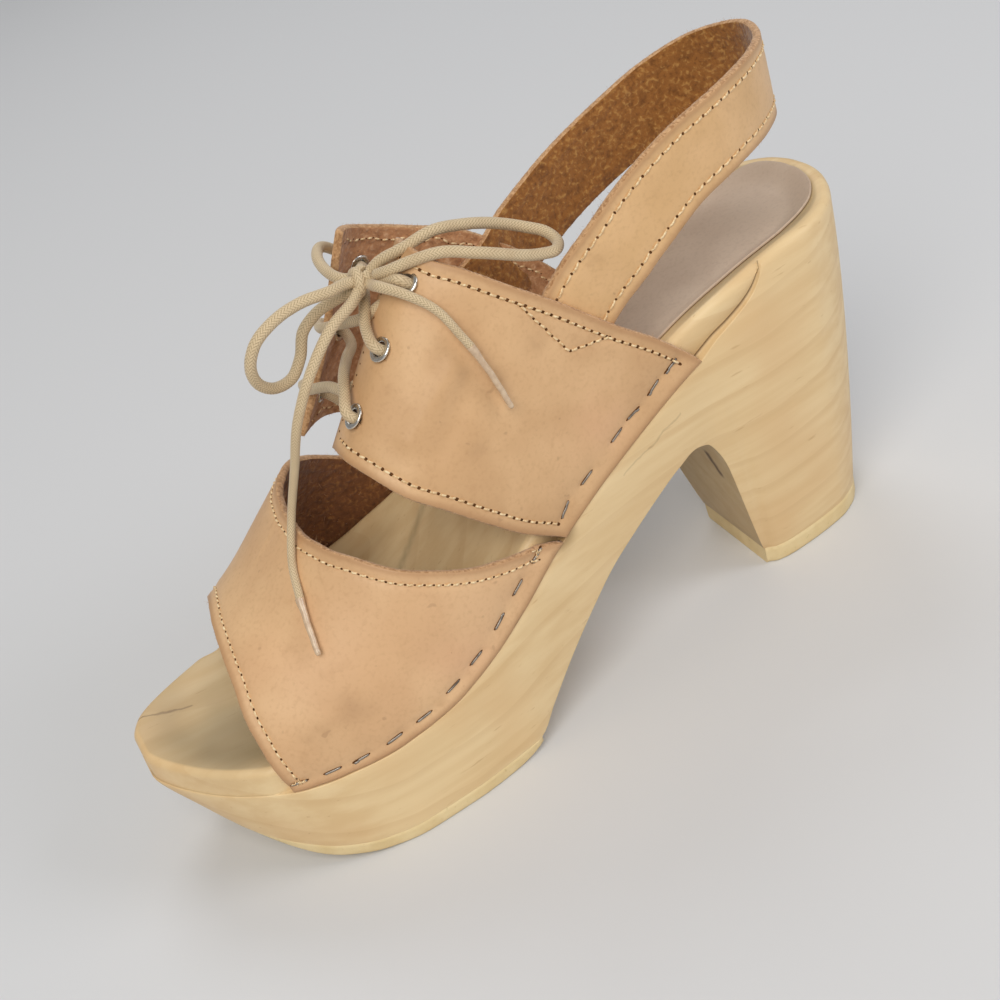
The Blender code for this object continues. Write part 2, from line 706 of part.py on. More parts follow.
def knot():
    """The lace's knot over the throat."""
    mesh = bmesh.new()
    bmesh.ops.create_uvsphere(mesh, u_segments=KNOT_SIDES, v_segments=KNOT_RINGS, radius=MM)
    mesh.transform(Matrix.Translation(Vector(KNOT_CENTRE) * MM) @ Matrix.Diagonal((*KNOT_HALF_SIZE, 1.0)))
    return finished("lace_knot", mesh)


def build():
    for thing in list(bpy.data.objects):
        bpy.data.objects.remove(thing)
    paint(sole(), "alder wood", (0.737, 0.515, 0.279), 0.5)
    paint(rubber("forefoot_tread", *TREAD_ENDS, TREAD), "natural rubber", (0.768, 0.624, 0.314), 0.6)
    paint(rubber("heel_lift", HEEL_FRONT, HALF_LENGTH, HEEL_LIFT), "natural rubber", (0.768, 0.624, 0.314), 0.6)
    paint(heel_sock(), "sock leather", (0.392, 0.301, 0.254), 0.7)
    paint(vamp(), "vegetable-tanned leather", (0.645, 0.397, 0.202), 0.5)
    band = quarter("instep_band", "outer")
    combine(band, sling(), "UNION")
    combine(band, quarter("inner half", "inner"), "UNION")
    paint(band, "vegetable-tanned leather", (0.645, 0.397, 0.202), 0.5)
    for side, front in QUARTER_FRONT.items():
        for number, x in enumerate(front["eyelet_x"], 1):
            frame = eyelet_frame(x, front["eyelets"], side)
            combine(band, pin("drill", EYELET_BARREL + GAP, DRILL_REACH, frame), "DIFFERENCE")
            paint(eyelet(f"eyelet_{side}_{number}", frame), "nickel", (0.6, 0.58, 0.55), 0.3, 1.0)
    laces = [knot()] + [cord(name, points, LACE_DIAMETER) for name, points in CORDS.items()]
    for name, strands in CROSSINGS.items():
        first, second = (meshed(cord(name, points, LACE_DIAMETER)) for points in strands)
        combine(first, second, "UNION")
        laces.append(first)
    for lace in laces:
        paint(lace, "braided cotton", (0.584, 0.423, 0.254), 0.9)
    for name, points in AGLETS.items():
        paint(cord(name, points, AGLET_DIAMETER), "clear plastic", (0.645, 0.462, 0.305), 0.3)


build()
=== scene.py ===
import math

import bmesh
import bpy
import numpy as np
from mathutils import Matrix, Vector
from mathutils import noise as wobble
from mathutils.bvhtree import BVHTree
from mathutils.kdtree import KDTree


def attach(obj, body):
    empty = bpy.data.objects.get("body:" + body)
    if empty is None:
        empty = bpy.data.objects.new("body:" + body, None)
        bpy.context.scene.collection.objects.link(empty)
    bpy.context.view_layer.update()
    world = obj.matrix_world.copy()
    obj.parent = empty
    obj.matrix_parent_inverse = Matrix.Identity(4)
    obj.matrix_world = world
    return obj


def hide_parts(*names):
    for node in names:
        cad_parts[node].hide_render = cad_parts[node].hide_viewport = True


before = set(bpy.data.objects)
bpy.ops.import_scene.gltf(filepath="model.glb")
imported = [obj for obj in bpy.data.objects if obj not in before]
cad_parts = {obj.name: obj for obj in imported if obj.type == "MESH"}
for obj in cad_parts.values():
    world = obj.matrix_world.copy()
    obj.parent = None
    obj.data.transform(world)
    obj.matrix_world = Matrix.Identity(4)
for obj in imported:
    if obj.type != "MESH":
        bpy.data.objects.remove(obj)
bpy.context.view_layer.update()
mm = 0.001  # everything below is in millimetres until a mesh is made
chance = np.random.default_rng(11)
print("frame loaded,", len(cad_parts), "nodes")


# Tables and curves of the sandal's form. The toe points along -X, the outer side of the foot is -Y.
def columns(names, rows):
    return {name: np.array([row[i] for row in rows], float) for i, name in enumerate(names)}


def smooth(xs, ys):  # monotone cubic through the points
    xs, ys = np.array(xs, float), np.array(ys, float)
    step, rise = np.diff(xs), np.diff(ys) / np.diff(xs)
    slope = np.zeros(len(xs))
    slope[0], slope[-1] = rise[0], rise[-1]
    for i in range(1, len(xs) - 1):
        if rise[i - 1] * rise[i] > 0:
            a, b = 2 * step[i] + step[i - 1], step[i] + 2 * step[i - 1]
            slope[i] = (a + b) / (a / rise[i - 1] + b / rise[i])

    def value(x):
        x = np.clip(x, xs[0], xs[-1])
        i = np.clip(np.searchsorted(xs, x, side="right") - 1, 0, len(xs) - 2)
        t = (x - xs[i]) / step[i]
        low = ys[i] * (1 + 2 * t) * (1 - t) ** 2 + slope[i] * step[i] * t * (1 - t) ** 2
        return low + ys[i + 1] * t * t * (3 - 2 * t) + slope[i + 1] * step[i] * t * t * (t - 1)

    return value


def ease(t):
    t = np.clip(t, 0, 1)
    return t * t * (3 - 2 * t)


def unit(v):
    return v / np.maximum(np.linalg.norm(v, axis=-1, keepdims=True), 1e-9)


sandal = {"halfLength": 123.2, "leather": 2.2, "seat": 1.8, "ledgeGap": 0.4}

plan = columns(
    ("x", "outer", "inner"),
    [
        (-123.2, 0.0, 9.0),
        (-122.2, -4.5, 13.0),
        (-120.0, -9.0, 17.0),
        (-116.2, -15.0, 20.6),
        (-110.0, -22.8, 24.4),
        (-100.5, -31.2, 28.8),
        (-90.0, -37.6, 33.0),
        (-78.0, -41.8, 37.8),
        (-64.0, -43.8, 42.0),
        (-50.0, -43.6, 43.4),
        (-36.0, -42.0, 41.5),
        (-20.0, -39.2, 37.0),
        (0.0, -35.8, 31.2),
        (20.0, -33.3, 28.0),
        (40.0, -32.0, 27.2),
        (60.0, -31.5, 28.2),
        (80.0, -31.0, 29.8),
        (95.0, -29.8, 29.6),
        (104.0, -26.8, 28.2),
        (111.5, -21.8, 25.2),
        (117.0, -15.0, 21.4),
        (120.8, -7.8, 16.6),
        (122.6, -2.0, 11.4),
        (123.2, 2.6, 6.6),
    ],
)
# rim: top edge of the wood, rebate: how far down the step for the leather goes, dish: hollow of the footbed
side = columns(
    ("x", "rim", "rebate", "dish"),
    [
        (-123.2, 42.0, 8.0, 0.8),
        (-105.0, 40.6, 8.2, 1.0),
        (-92.0, 40.0, 8.6, 1.4),
        (-78.0, 41.0, 9.2, 2.0),
        (-62.0, 42.4, 10.0, 2.5),
        (-45.0, 45.6, 10.6, 2.5),
        (-30.0, 51.0, 10.8, 2.2),
        (-17.0, 57.5, 10.6, 2.0),
        (-4.0, 65.2, 10.2, 2.0),
        (14.0, 75.3, 11.0, 2.2),
        (32.0, 84.0, 11.5, 2.6),
        (58.0, 94.3, 11.0, 3.2),
        (72.0, 98.2, 11.0, 3.8),
        (84.0, 100.8, 11.0, 4.2),
        (96.0, 102.2, 11.0, 4.4),
        (123.2, 102.8, 11.0, 4.4),
    ],
)
# the wood's underside: shifted along the foot, its height and its inset from the plan
under = columns(
    ("x", "shift", "height", "inset"),
    [
        (-123.2, 0.0, 26.0, 4.0),
        (-116.0, 0.0, 20.0, 3.6),
        (-108.0, 0.0, 14.6, 3.0),
        (-98.0, 0.0, 9.8, 2.4),
        (-88.0, 0.0, 6.6, 1.8),
        (-78.0, 0.0, 5.0, 1.4),
        (-69.0, 0.0, 4.5, 1.2),
        (-27.0, 0.0, 4.5, 1.2),
        (-25.0, 0.0, 5.0, 1.4),
        (-19.0, 0.0, 10.6, 1.8),
        (-8.0, 0.0, 20.8, 2.0),
        (3.0, 0.0, 30.2, 2.0),
        (13.0, 0.0, 38.0, 2.0),
        (22.0, 0.0, 43.5, 2.0),
        (32.0, 0.0, 49.3, 2.0),
        (42.0, 0.0, 54.6, 2.0),
        (48.0, 0.0, 56.8, 2.2),
        (52.0, 0.0, 55.8, 2.6),
        (55.0, 0.0, 51.5, 3.2),
        (57.0, 0.6, 44.0, 4.0),
        (59.0, 6.0, 6.0, 9.0),
        (64.0, 4.5, 6.0, 7.0),
        (72.0, 2.5, 6.0, 6.2),
        (100.0, 0.0, 6.0, 7.5),
        (123.2, 0.0, 6.0, 11.0),
    ],
)
# the foot above the sole: the ridge that each half of its section rises to, and how square the section is
form = columns(
    ("x", "outer", "inner", "ridgeY", "power"),
    [
        (-98.0, 58.5, 58.5, 2.0, 2.2),
        (-88.0, 64.0, 64.0, 2.0, 2.2),
        (-75.0, 70.6, 70.6, 2.0, 2.2),
        (-60.0, 82.2, 82.2, 1.5, 2.2),
        (-43.0, 103.0, 97.0, 1.0, 2.3),
        (-28.0, 121.5, 118.0, 0.5, 2.4),
        (-8.0, 145.5, 154.0, 0.0, 2.5),
        (15.0, 171.0, 183.0, 0.0, 2.5),
        (60.0, 212.0, 222.0, 0.0, 2.5),
    ],
)


def roundEnded(column):  # smooth in an angle along the foot, so that the two ends are round
    turn = smooth(np.arcsin(plan["x"] / sandal["halfLength"]), plan[column])
    return lambda x: turn(np.arcsin(np.clip(np.asarray(x) / sandal["halfLength"], -1, 1)))


planOuter, planInner = roundEnded("outer"), roundEnded("inner")
rimHeight, rebateDrop, dishDepth = (smooth(side["x"], side[c]) for c in ("rim", "rebate", "dish"))
underShift, underHeight, underInset = (smooth(under["x"], under[c]) for c in ("shift", "height", "inset"))
innerInset = smooth((56.5, 59.0, 64.0, 72.0, 100.0), (0.0, 7.5, 4.6, 2.4, 0.0))  # of the heel's foot
ridgeY, squareness = smooth(form["x"], form["ridgeY"]), smooth(form["x"], form["power"])
halves = {
    "outer": {"plan": planOuter, "ridge": smooth(form["x"], form["outer"]), "inward": 1},
    "inner": {"plan": planInner, "ridge": smooth(form["x"], form["inner"]), "inward": -1},
}


def leatherFoot(x, half):  # height of the leather's lower edge at x and where its inner face is there
    edge, inward = halves[half]["plan"], halves[half]["inward"]
    slope = edge(x + 0.5) - edge(x - 0.5)
    low = rimHeight(x) - rebateDrop(x) + sandal["ledgeGap"]
    return low, edge(x) + inward * sandal["seat"] * np.hypot(1, slope)


# Inner face of the upper, at a share of the way from the sole's edge to the ridge.
def onForm(x, share, half):
    x, share = np.broadcast_arrays(np.asarray(x, float), np.asarray(share, float))
    low, base = (v[..., None] for v in leatherFoot(x, half))
    high, middle = halves[half]["ridge"](x)[..., None], ridgeY(x)[..., None]
    power = squareness(x)[..., None]
    turn = np.linspace(0, math.pi / 2, 160)
    y = middle + (base - middle) * np.cos(turn) ** (2 / power)
    z = low + (high - low) * np.sin(turn) ** (2 / power)
    along = np.concatenate([np.zeros_like(y[..., :1]), np.cumsum(np.hypot(np.diff(y), np.diff(z)), -1)], -1)
    want = (share * along[..., -1])[..., None]
    after = np.clip((along < want).sum(-1, keepdims=True), 1, len(turn) - 1)
    pick = [np.take_along_axis(v, k, -1) for v in (along, y, z) for k in (after - 1, after)]
    t = (want - pick[0]) / np.maximum(pick[1] - pick[0], 1e-9)
    y, z = ((pick[k] + (pick[k + 1] - pick[k]) * t)[..., 0] for k in (2, 4))
    return np.stack([x, y, z], -1)


def wallY(x, z, half):  # where the upper's inner face is at x and at height z
    low, base = leatherFoot(x, half)
    rise = np.clip((z - low) / (halves[half]["ridge"](x) - low), 0, 1)
    return ridgeY(x) + (base - ridgeY(x)) * (1 - rise ** squareness(x)) ** (1 / squareness(x))


# Mesh helpers
def gridFaces(rows, cols, first=0, closed=False):
    i, j = np.meshgrid(np.arange(rows - 1), np.arange(cols if closed else cols - 1), indexing="ij")
    k = (j + 1) % cols
    corners = [i * cols + j, (i + 1) * cols + j, (i + 1) * cols + k, i * cols + k]
    return first + np.stack(corners, -1).reshape(-1, 4)


def addPiece(name, points, faces, finishes, slots=None, loopUv=None, turnOut=False):
    data = bpy.data.meshes.new(name)
    data.from_pydata((np.asarray(points) * mm).tolist(), [], [list(f) for f in faces])
    for finish in finishes:
        data.materials.append(finish)
    if slots is not None:
        data.polygons.foreach_set("material_index", np.asarray(slots, np.int32))
    if loopUv is not None:
        data.uv_layers.new(name="along").data.foreach_set("uv", np.asarray(loopUv, np.float32).ravel())
    if turnOut:
        mesh = bmesh.new()
        mesh.from_mesh(data)
        bmesh.ops.recalc_face_normals(mesh, faces=mesh.faces)
        mesh.to_mesh(data)
        mesh.free()
    data.shade_smooth()
    piece = bpy.data.objects.new(name, data)
    bpy.context.scene.collection.objects.link(piece)
    return piece


def setAttribute(piece, name, values):
    layer = piece.data.attributes.new(name, "FLOAT", "POINT")
    layer.data.foreach_set("value", np.asarray(values, np.float32))


def nearest(points, cloud):  # distance of each point to the closest point of a cloud
    tree = KDTree(len(cloud))
    for i, p in enumerate(cloud):
        tree.insert(p, i)
    tree.balance()
    flat = np.asarray(points).reshape(-1, 3)
    return np.array([tree.find(p)[2] for p in flat]).reshape(np.shape(points)[:-1])


def waves(points, size, seed=0.0):  # smooth random heights, about -1 to 1
    flat = np.asarray(points).reshape(-1, 3) / size + seed
    return np.array([wobble.noise(Vector(p)) for p in flat]).reshape(np.shape(points)[:-1])


def lengths(path):
    return np.concatenate([[0], np.cumsum(np.linalg.norm(np.diff(path, axis=0), axis=1))])


def spaced(path, at):  # points of a path at lengths along it
    along = lengths(path)
    return np.stack([np.interp(at, along, path[:, k]) for k in range(3)], 1)


def roundedRoute(points, step):  # smooth curve through a route's points, a point every step
    points = np.array(points, float)
    chord = lengths(points)
    slope = np.gradient(points, chord, axis=0)
    dense = []
    for i in range(len(points) - 1):
        t = np.linspace(0, 1, 24, endpoint=False)[:, None]
        run = chord[i + 1] - chord[i]
        start = points[i] * (1 + 2 * t) * (1 - t) ** 2 + slope[i] * run * t * (1 - t) ** 2
        dense.append(start + points[i + 1] * t * t * (3 - 2 * t) + slope[i + 1] * run * t * t * (t - 1))
    dense = np.concatenate([*dense, points[-1:]])
    total = lengths(dense)[-1]
    return spaced(dense, np.linspace(0, total, max(3, int(round(total / step)) + 1)))


def frames(path):  # two directions across a path, turning with it and not about it
    ahead = unit(np.gradient(path, axis=0))
    first = np.cross(ahead[0], (0.3, 0.2, 0.93))
    across = [first / np.linalg.norm(first)]
    for here in ahead[1:]:
        turned = across[-1] - here * (across[-1] @ here)
        across.append(turned / np.linalg.norm(turned))
    across = np.array(across)
    return across, np.cross(ahead, across)


# Finishes
def linear(code):  # sRGB hex to the linear colour that nodes take
    parts = [int(code[i : i + 2], 16) / 255 for i in (1, 3, 5)]
    return (*[p / 12.92 if p <= 0.04045 else ((p + 0.055) / 1.055) ** 2.4 for p in parts], 1.0)


def perSize(size):  # texture scale for a feature of that many millimetres
    return 1 / (size * mm)


# Adds a node. A setting is a property or an input's value, a hex code being a colour. A link is a socket.
def addNode(tree, kind, settings, links=None, out=0):
    node = tree.nodes.new("ShaderNode" + kind)
    for key, value in settings.items():
        if isinstance(key, int) or key in node.inputs:
            node.inputs[key].default_value = linear(value) if isinstance(value, str) else value
        else:
            setattr(node, key, value)
    for key, source in (links or {}).items():
        tree.links.new(source, node.inputs[key])
    return node.outputs[out]


def newFinish(name, settings):
    finish = bpy.data.materials.new(name)
    finish.use_nodes = True
    tree = finish.node_tree
    shader = tree.nodes["Principled BSDF"]
    for key, value in settings.items():
        shader.inputs[key].default_value = value
    return finish, tree, shader, addNode(tree, "TexCoord", {}, out="Object")


# Lays a colour over another where a pattern's value runs from start to end, at most so strongly.
def painted(tree, under, over, pattern, start, end, most=1.0):
    span = {"interpolation_type": "SMOOTHSTEP", 1: start, 2: end, 4: most}
    amount = addNode(tree, "MapRange", span, {0: pattern})
    settings, links = {"data_type": "RGBA", 7: over}, {0: amount}
    if isinstance(under, str):
        settings[6] = under
    else:
        links[6] = under
    return addNode(tree, "Mix", settings, links, out=2)


def marked(tree, colour, marks):  # colours laid over where an attribute of the mesh says
    for key, tint, most in marks:
        mark = addNode(tree, "Attribute", {"attribute_name": key}, out="Fac")
        colour = painted(tree, colour, tint, mark, 0.0, 1.0, most)
    return colour


def connect(tree, shader, sockets):
    for key, socket in sockets.items():
        tree.links.new(socket, shader.inputs[key])


# A finish made of noises alone. A noise has a feature size, a detail and a distortion. A layer is a colour
# laid over the base where its noise runs from one value to another. A bump has a strength and a height.
def noisyFinish(name, settings, noises, base, layers, bumps=()):
    finish, tree, shader, coords = newFinish(name, settings)
    made = {}
    for key, (size, detail, bent) in noises.items():
        texture = {"Scale": perSize(size), "Detail": detail, "Distortion": bent}
        made[key] = addNode(tree, "TexNoise", texture, {"Vector": coords})
    colour, normal = base, {}
    for key, over, *span in layers:
        colour = painted(tree, colour, over, made[key], *span)
    for key, strength, height in bumps:
        relief = {"Strength": strength, "Distance": height * mm}
        normal["Normal"] = addNode(tree, "Bump", relief, {"Height": made[key], **normal})
    connect(tree, shader, {"Base Color": colour, **normal})
    return finish


# Vegetable-tanned cowhide, grain side, undyed and waxed: an even pale tan with cloudy patches, a tight fine
# grain that only shows in raking light, pores drawn coarser than their 0.5 mm, and a soft satin shine.
def tannedLeather(name, pale, deep):
    finish, tree, shader, coords = newFinish(name, {"Coat Weight": 0.1, "Coat Roughness": 0.42})
    clouds, blots, pores, specks = (
        addNode(tree, "TexNoise", {"Scale": perSize(size), "Detail": detail}, {"Vector": coords})
        for size, detail in ((24, 3.0), (7, 4.0), (1.1, 4.0), (2.8, 1.0))
    )
    cells = addNode(tree, "TexVoronoi", {"Scale": perSize(0.9), "feature": "SMOOTH_F1"}, {"Vector": coords})
    colour = painted(tree, deep, pale, clouds, 0.36, 0.66)
    colour = painted(tree, colour, "#b98f63", blots, 0.55, 0.78, 0.3)
    colour = painted(tree, colour, "#a67a4e", pores, 0.45, 0.8, 0.22)
    colour = painted(tree, colour, "#8f6a48", specks, 0.73, 0.8, 0.3)
    # stains, the outer quarter's first one also painted shadow of the short lace end; pinker patches; darker
    # near the cut edges
    marks = (("stainAndShade", "#9c7650", 0.9), ("blush", "#d8a57f", 0.8), ("rim", "#a87b52", 0.6))
    colour = marked(tree, colour, marks)
    gloss = addNode(tree, "MapRange", {1: 0.3, 2: 0.7, 3: 0.6, 4: 0.46}, {0: clouds})
    grain = addNode(tree, "Bump", {"Strength": 0.3, "Distance": 0.05 * mm}, {"Height": cells})
    pricked = {"Strength": 0.35, "Distance": 0.08 * mm}
    dents = addNode(tree, "Bump", pricked, {"Height": pores, "Normal": grain})
    connect(tree, shader, {"Base Color": colour, "Roughness": gloss, "Normal": dents})
    return finish


# The same hide's flesh side, left rough: orange-brown matted fibres with pale ends that catch the light.
def fleshSide(name, dark, middle, pale):
    return noisyFinish(
        name,
        {"Roughness": 0.95, "Sheen Weight": 0.3, "Specular IOR Level": 0.15},
        {"clumps": (2.8, 5.0, 0.0), "fibres": (1.3, 6.0, 0.35)},
        dark,
        [("clumps", middle, 0.1, 0.58), ("fibres", dark, 0.47, 0.3, 0.6), ("fibres", pale, 0.5, 0.72, 0.7)],
        [("clumps", 0.5, 0.5), ("fibres", 0.8, 0.5)],
    )


# Alder, carved, sanded and thinly lacquered: even cream with thin faint rings, soft streaks along the foot,
# short brown flecks and a few hairline checks. The lacquer gives a dull shine.
def alder():
    # hairline checks: both ends, weights of the axes, width and strength
    checks = [
        ((-121.5, 15.8, 41.2), (-105.0, 10.6, 39.7), (1, 1, 0.1), 0.6, 0.45),
        ((57.5, -16.6, 43.6), (58.6, -18.7, 36.3), (0.1, 1, 1), 2.2, 1.0),
        ((45.1, -31.8, 71.2), (24.0, -33.0, 64.0), (1, 0.1, 1), 0.5, 0.2),
    ]
    pith, ringGap, squeeze = (0.03, 0.07, -0.12), 11.0, (0.03, 1.0, 1.0)
    lacquer = {"Coat Weight": 0.12, "Coat Roughness": 0.4}
    finish, tree, shader, coords = newFinish("alder, sanded and lacquered", lacquer)
    wander = addNode(tree, "TexNoise", {"Scale": perSize(90), "Detail": 2.0}, {"Vector": coords})
    apart = addNode(tree, "VectorMath", {"operation": "SUBTRACT", 1: pith}, {0: coords})
    flat = addNode(tree, "VectorMath", {"operation": "MULTIPLY", 1: squeeze}, {0: apart})
    radius = addNode(tree, "VectorMath", {"operation": "LENGTH"}, {0: flat}, out="Value")
    swing = addNode(tree, "Math", {"operation": "MULTIPLY", 1: 1.1}, {0: wander})
    rings = addNode(tree, "Math", {"operation": "MULTIPLY_ADD", 1: perSize(ringGap)}, {0: radius, 2: swing})
    ring = addNode(tree, "Math", {"operation": "FRACT"}, {0: rings})
    rise = addNode(tree, "MapRange", {"interpolation_type": "SMOOTHSTEP", 1: 0.7, 2: 0.96}, {0: ring})
    fall = addNode(tree, "MapRange", {"interpolation_type": "SMOOTHSTEP", 1: 1.0, 2: 0.96}, {0: ring})
    late = addNode(tree, "Math", {"operation": "MULTIPLY"}, {0: rise, 1: fall})
    drawn, dashed = (
        addNode(tree, "Mapping", {"Scale": (share, 1.0, 1.0)}, {"Vector": coords}) for share in (0.05, 0.12)
    )
    streaks = addNode(tree, "TexNoise", {"Scale": perSize(5.0), "Detail": 5.0}, {"Vector": drawn})
    flecks = addNode(tree, "TexNoise", {"Scale": perSize(1.2), "Detail": 2.0}, {"Vector": dashed})
    broad = addNode(tree, "TexNoise", {"Scale": perSize(45), "Detail": 2.0}, {"Vector": coords})
    colour = painted(tree, "#dcbd8c", "#e6cb9c", streaks, 0.3, 0.7)
    colour = painted(tree, colour, "#d9b482", broad, 0.45, 0.7, 0.6)
    colour = painted(tree, colour, "#c59d6a", late, 0.0, 1.0, 0.2)
    colour = painted(tree, colour, "#b88f5f", flecks, 0.68, 0.78, 0.4)
    # stains and dirt, with painted shade under the vamp's toe, round the sock and on the heel's breast; rim
    # is painted shade in the scribed line and in the gap under the quarter's front corner
    colour = marked(tree, colour, (("stainAndShade", "#95835f", 0.8), ("rim", "#84653c", 0.9)))
    for start, end, flat, width, most in checks:
        gap = checkDistance(tree, coords, Vector(start) * mm, Vector(end) * mm, flat)
        colour = painted(tree, colour, "#5b4026", gap, width * mm, 0.1 * mm, most)
    gloss = addNode(tree, "MapRange", {1: 0.3, 2: 0.7, 3: 0.58, 4: 0.48}, {0: streaks})
    sanded = addNode(tree, "Bump", {"Strength": 0.3, "Distance": 0.1 * mm}, {"Height": streaks})
    connect(tree, shader, {"Base Color": colour, "Roughness": gloss, "Normal": sanded})
    return finish


def checkDistance(tree, coords, start, end, flat):  # from a wandering line between two points, in metres
    along, swing = end - start, 2.5 * mm
    wander = addNode(tree, "TexNoise", {"Scale": perSize(5), "Detail": 3.0}, {"Vector": coords}, out="Color")
    bent = addNode(tree, "VectorMath", {"operation": "SCALE", "Scale": swing}, {0: wander})
    moved = addNode(tree, "VectorMath", {"operation": "ADD"}, {0: coords, 1: bent})
    base = start + Vector((1, 1, 1)) * (swing / 2)
    apart = addNode(tree, "VectorMath", {"operation": "SUBTRACT", 1: base}, {0: moved})
    dot = addNode(tree, "VectorMath", {"operation": "DOT_PRODUCT", 1: along}, {0: apart}, out="Value")
    clamped = {"operation": "DIVIDE", 1: along.length_squared, "use_clamp": True}
    share = addNode(tree, "Math", clamped, {0: dot})
    place = addNode(tree, "VectorMath", {"operation": "SCALE", 0: along}, {"Scale": share})
    rest = addNode(tree, "VectorMath", {"operation": "SUBTRACT"}, {0: apart, 1: place})
    across = addNode(tree, "VectorMath", {"operation": "MULTIPLY", 1: flat}, {0: rest})
    return addNode(tree, "VectorMath", {"operation": "LENGTH"}, {0: across}, out="Value")


# Metal that has been handled: bright, with dull clouded patches.
def handledMetal(name, bright, dull, roughness):
    finish, tree, shader, coords = newFinish(name, {"Metallic": 1.0})
    tarnish = addNode(tree, "TexNoise", {"Scale": perSize(2.5), "Detail": 4.0}, {"Vector": coords})
    colour = painted(tree, bright, dull, tarnish, 0.45, 0.75)
    gloss = addNode(tree, "MapRange", {1: 0.3, 2: 0.75, 3: roughness, 4: roughness + 0.2}, {0: tarnish})
    connect(tree, shader, {"Base Color": colour, "Roughness": gloss})
    return finish


# Waxed cotton round braid: fine yarns in two sets that pass over two and under two. At arm's length it is a
# smooth cream cord with a faint slanted weave, drawn a little coarser than the 0.4 mm yarn.
braid = {"diameter": 3.0, "yarns": 11, "rise": 0.95, "relief": 0.07}


def braidHeight(around, along):  # 0 in the gaps to 1 on a yarn's back
    a = braid["yarns"] * around + along / braid["rise"]
    b = braid["yarns"] * around - along / braid["rise"]
    over = (np.floor(a) + np.floor(b)) % 4 < 2
    return np.sin(math.pi * np.where(over, a % 1, b % 1)) ** 0.7


def braidedCotton():
    finish, tree, shader, coords = newFinish("cotton braid, waxed", {"Roughness": 0.75, "Sheen Weight": 0.2})
    uv = addNode(tree, "UVMap", {"uv_map": "along"})
    split = addNode(tree, "SeparateXYZ", {}, {0: uv}, out="X").node
    yarns = float(braid["yarns"])
    around = addNode(tree, "Math", {"operation": "MULTIPLY", 1: yarns}, {0: split.outputs["X"]})
    along = addNode(tree, "Math", {"operation": "DIVIDE", 1: braid["rise"]}, {0: split.outputs["Y"]})
    sets = [addNode(tree, "Math", {"operation": way}, {0: around, 1: along}) for way in ("ADD", "SUBTRACT")]
    cells = [addNode(tree, "Math", {"operation": "FLOOR"}, {0: one}) for one in sets]
    backs = [addNode(tree, "Math", {"operation": "FRACT"}, {0: one}) for one in sets]
    both = addNode(tree, "Math", {"operation": "ADD"}, {0: cells[0], 1: cells[1]})
    turn = addNode(tree, "Math", {"operation": "FLOORED_MODULO", 1: 4.0}, {0: both})
    over = addNode(tree, "Math", {"operation": "LESS_THAN", 1: 2.0}, {0: turn})
    top = addNode(tree, "Mix", {}, {0: over, 2: backs[1], 3: backs[0]})
    arch = addNode(tree, "Math", {"operation": "MULTIPLY", 1: math.pi}, {0: top})
    back = addNode(tree, "Math", {"operation": "SINE"}, {0: arch})
    dirt = addNode(tree, "TexNoise", {"Scale": perSize(8), "Detail": 3.0}, {"Vector": coords})
    fluff = addNode(tree, "TexNoise", {"Scale": perSize(0.6), "Detail": 3.0}, {"Vector": coords})
    # the gaps between the yarns are painted dark as painted shade, the yarns' backs cream
    colour = painted(tree, "#9a8362", "#d2bd99", back, 0.05, 0.7)
    colour = painted(tree, colour, "#b59a76", dirt, 0.45, 0.8, 0.5)
    yarn = addNode(tree, "Bump", {"Strength": 0.45, "Distance": 0.12 * mm}, {"Height": back})
    fuzz = addNode(tree, "Bump", {"Strength": 0.3, "Distance": 0.1 * mm}, {"Height": fluff, "Normal": yarn})
    connect(tree, shader, {"Base Color": colour, "Normal": fuzz})
    return finish


# Cut edge of the hide: loose pale and brown fibres, quite matt.
rawEdge = noisyFinish(
    "cowhide, raw cut edge",
    {"Roughness": 0.9, "Sheen Weight": 0.2},
    {"fibres": (0.9, 4.0, 0.8)},
    "#a3764c",
    [("fibres", "#d0a679", 0.3, 0.68)],
    [("fibres", 0.7, 0.35)],
)
# Natural rubber, sanded flush with the wood: pale yellow, dull, faintly mottled, scuffed darker at its edge.
rubber = noisyFinish(
    "natural rubber, sanded",
    {"Roughness": 0.62},
    {"mottle": (7, 5.0, 0.0), "grit": (1.4, 3.0, 0.0)},
    "#d9c08e",
    [("mottle", "#e2cc9d", 0.3, 0.7), ("grit", "#b39a66", 0.64, 0.78, 0.4)],
    [("grit", 0.5, 0.2)],
)
# Thin pigskin sock: pale taupe, matt, with a fine pebble.
sockFinish = noisyFinish(
    "pigskin sock",
    {"Roughness": 0.72},
    {"broad": (18, 3.0, 0.0), "pebble": (1.1, 3.0, 0.0)},
    "#bea893",
    [("broad", "#c9b49f", 0.3, 0.7), ("pebble", "#a08b78", 0.45, 0.75, 0.22)],
    [("pebble", 0.4, 0.1)],
)
# Clear acetate film wound round the lace's tip: the braid shows through, pale under a hard gloss.
film = noisyFinish(
    "acetate film",
    {"Roughness": 0.24, "Coat Weight": 0.5, "Coat Roughness": 0.1},
    {"wrap": (1.6, 3.0, 0.0)},
    "#bfa386",
    [("wrap", "#d0b799", 0.3, 0.7)],
    [("wrap", 0.15, 0.1)],
)
# Bonded polyester thread, cream, three plies: a soft shine along its twist.
thread = noisyFinish(
    "bonded polyester thread",
    {"Roughness": 0.55},
    {"ply": (0.7, 2.0, 0.0)},
    "#d2ad7c",
    [("ply", "#f0dbb2", 0.35, 0.7)],
    [("ply", 0.5, 0.12)],
)
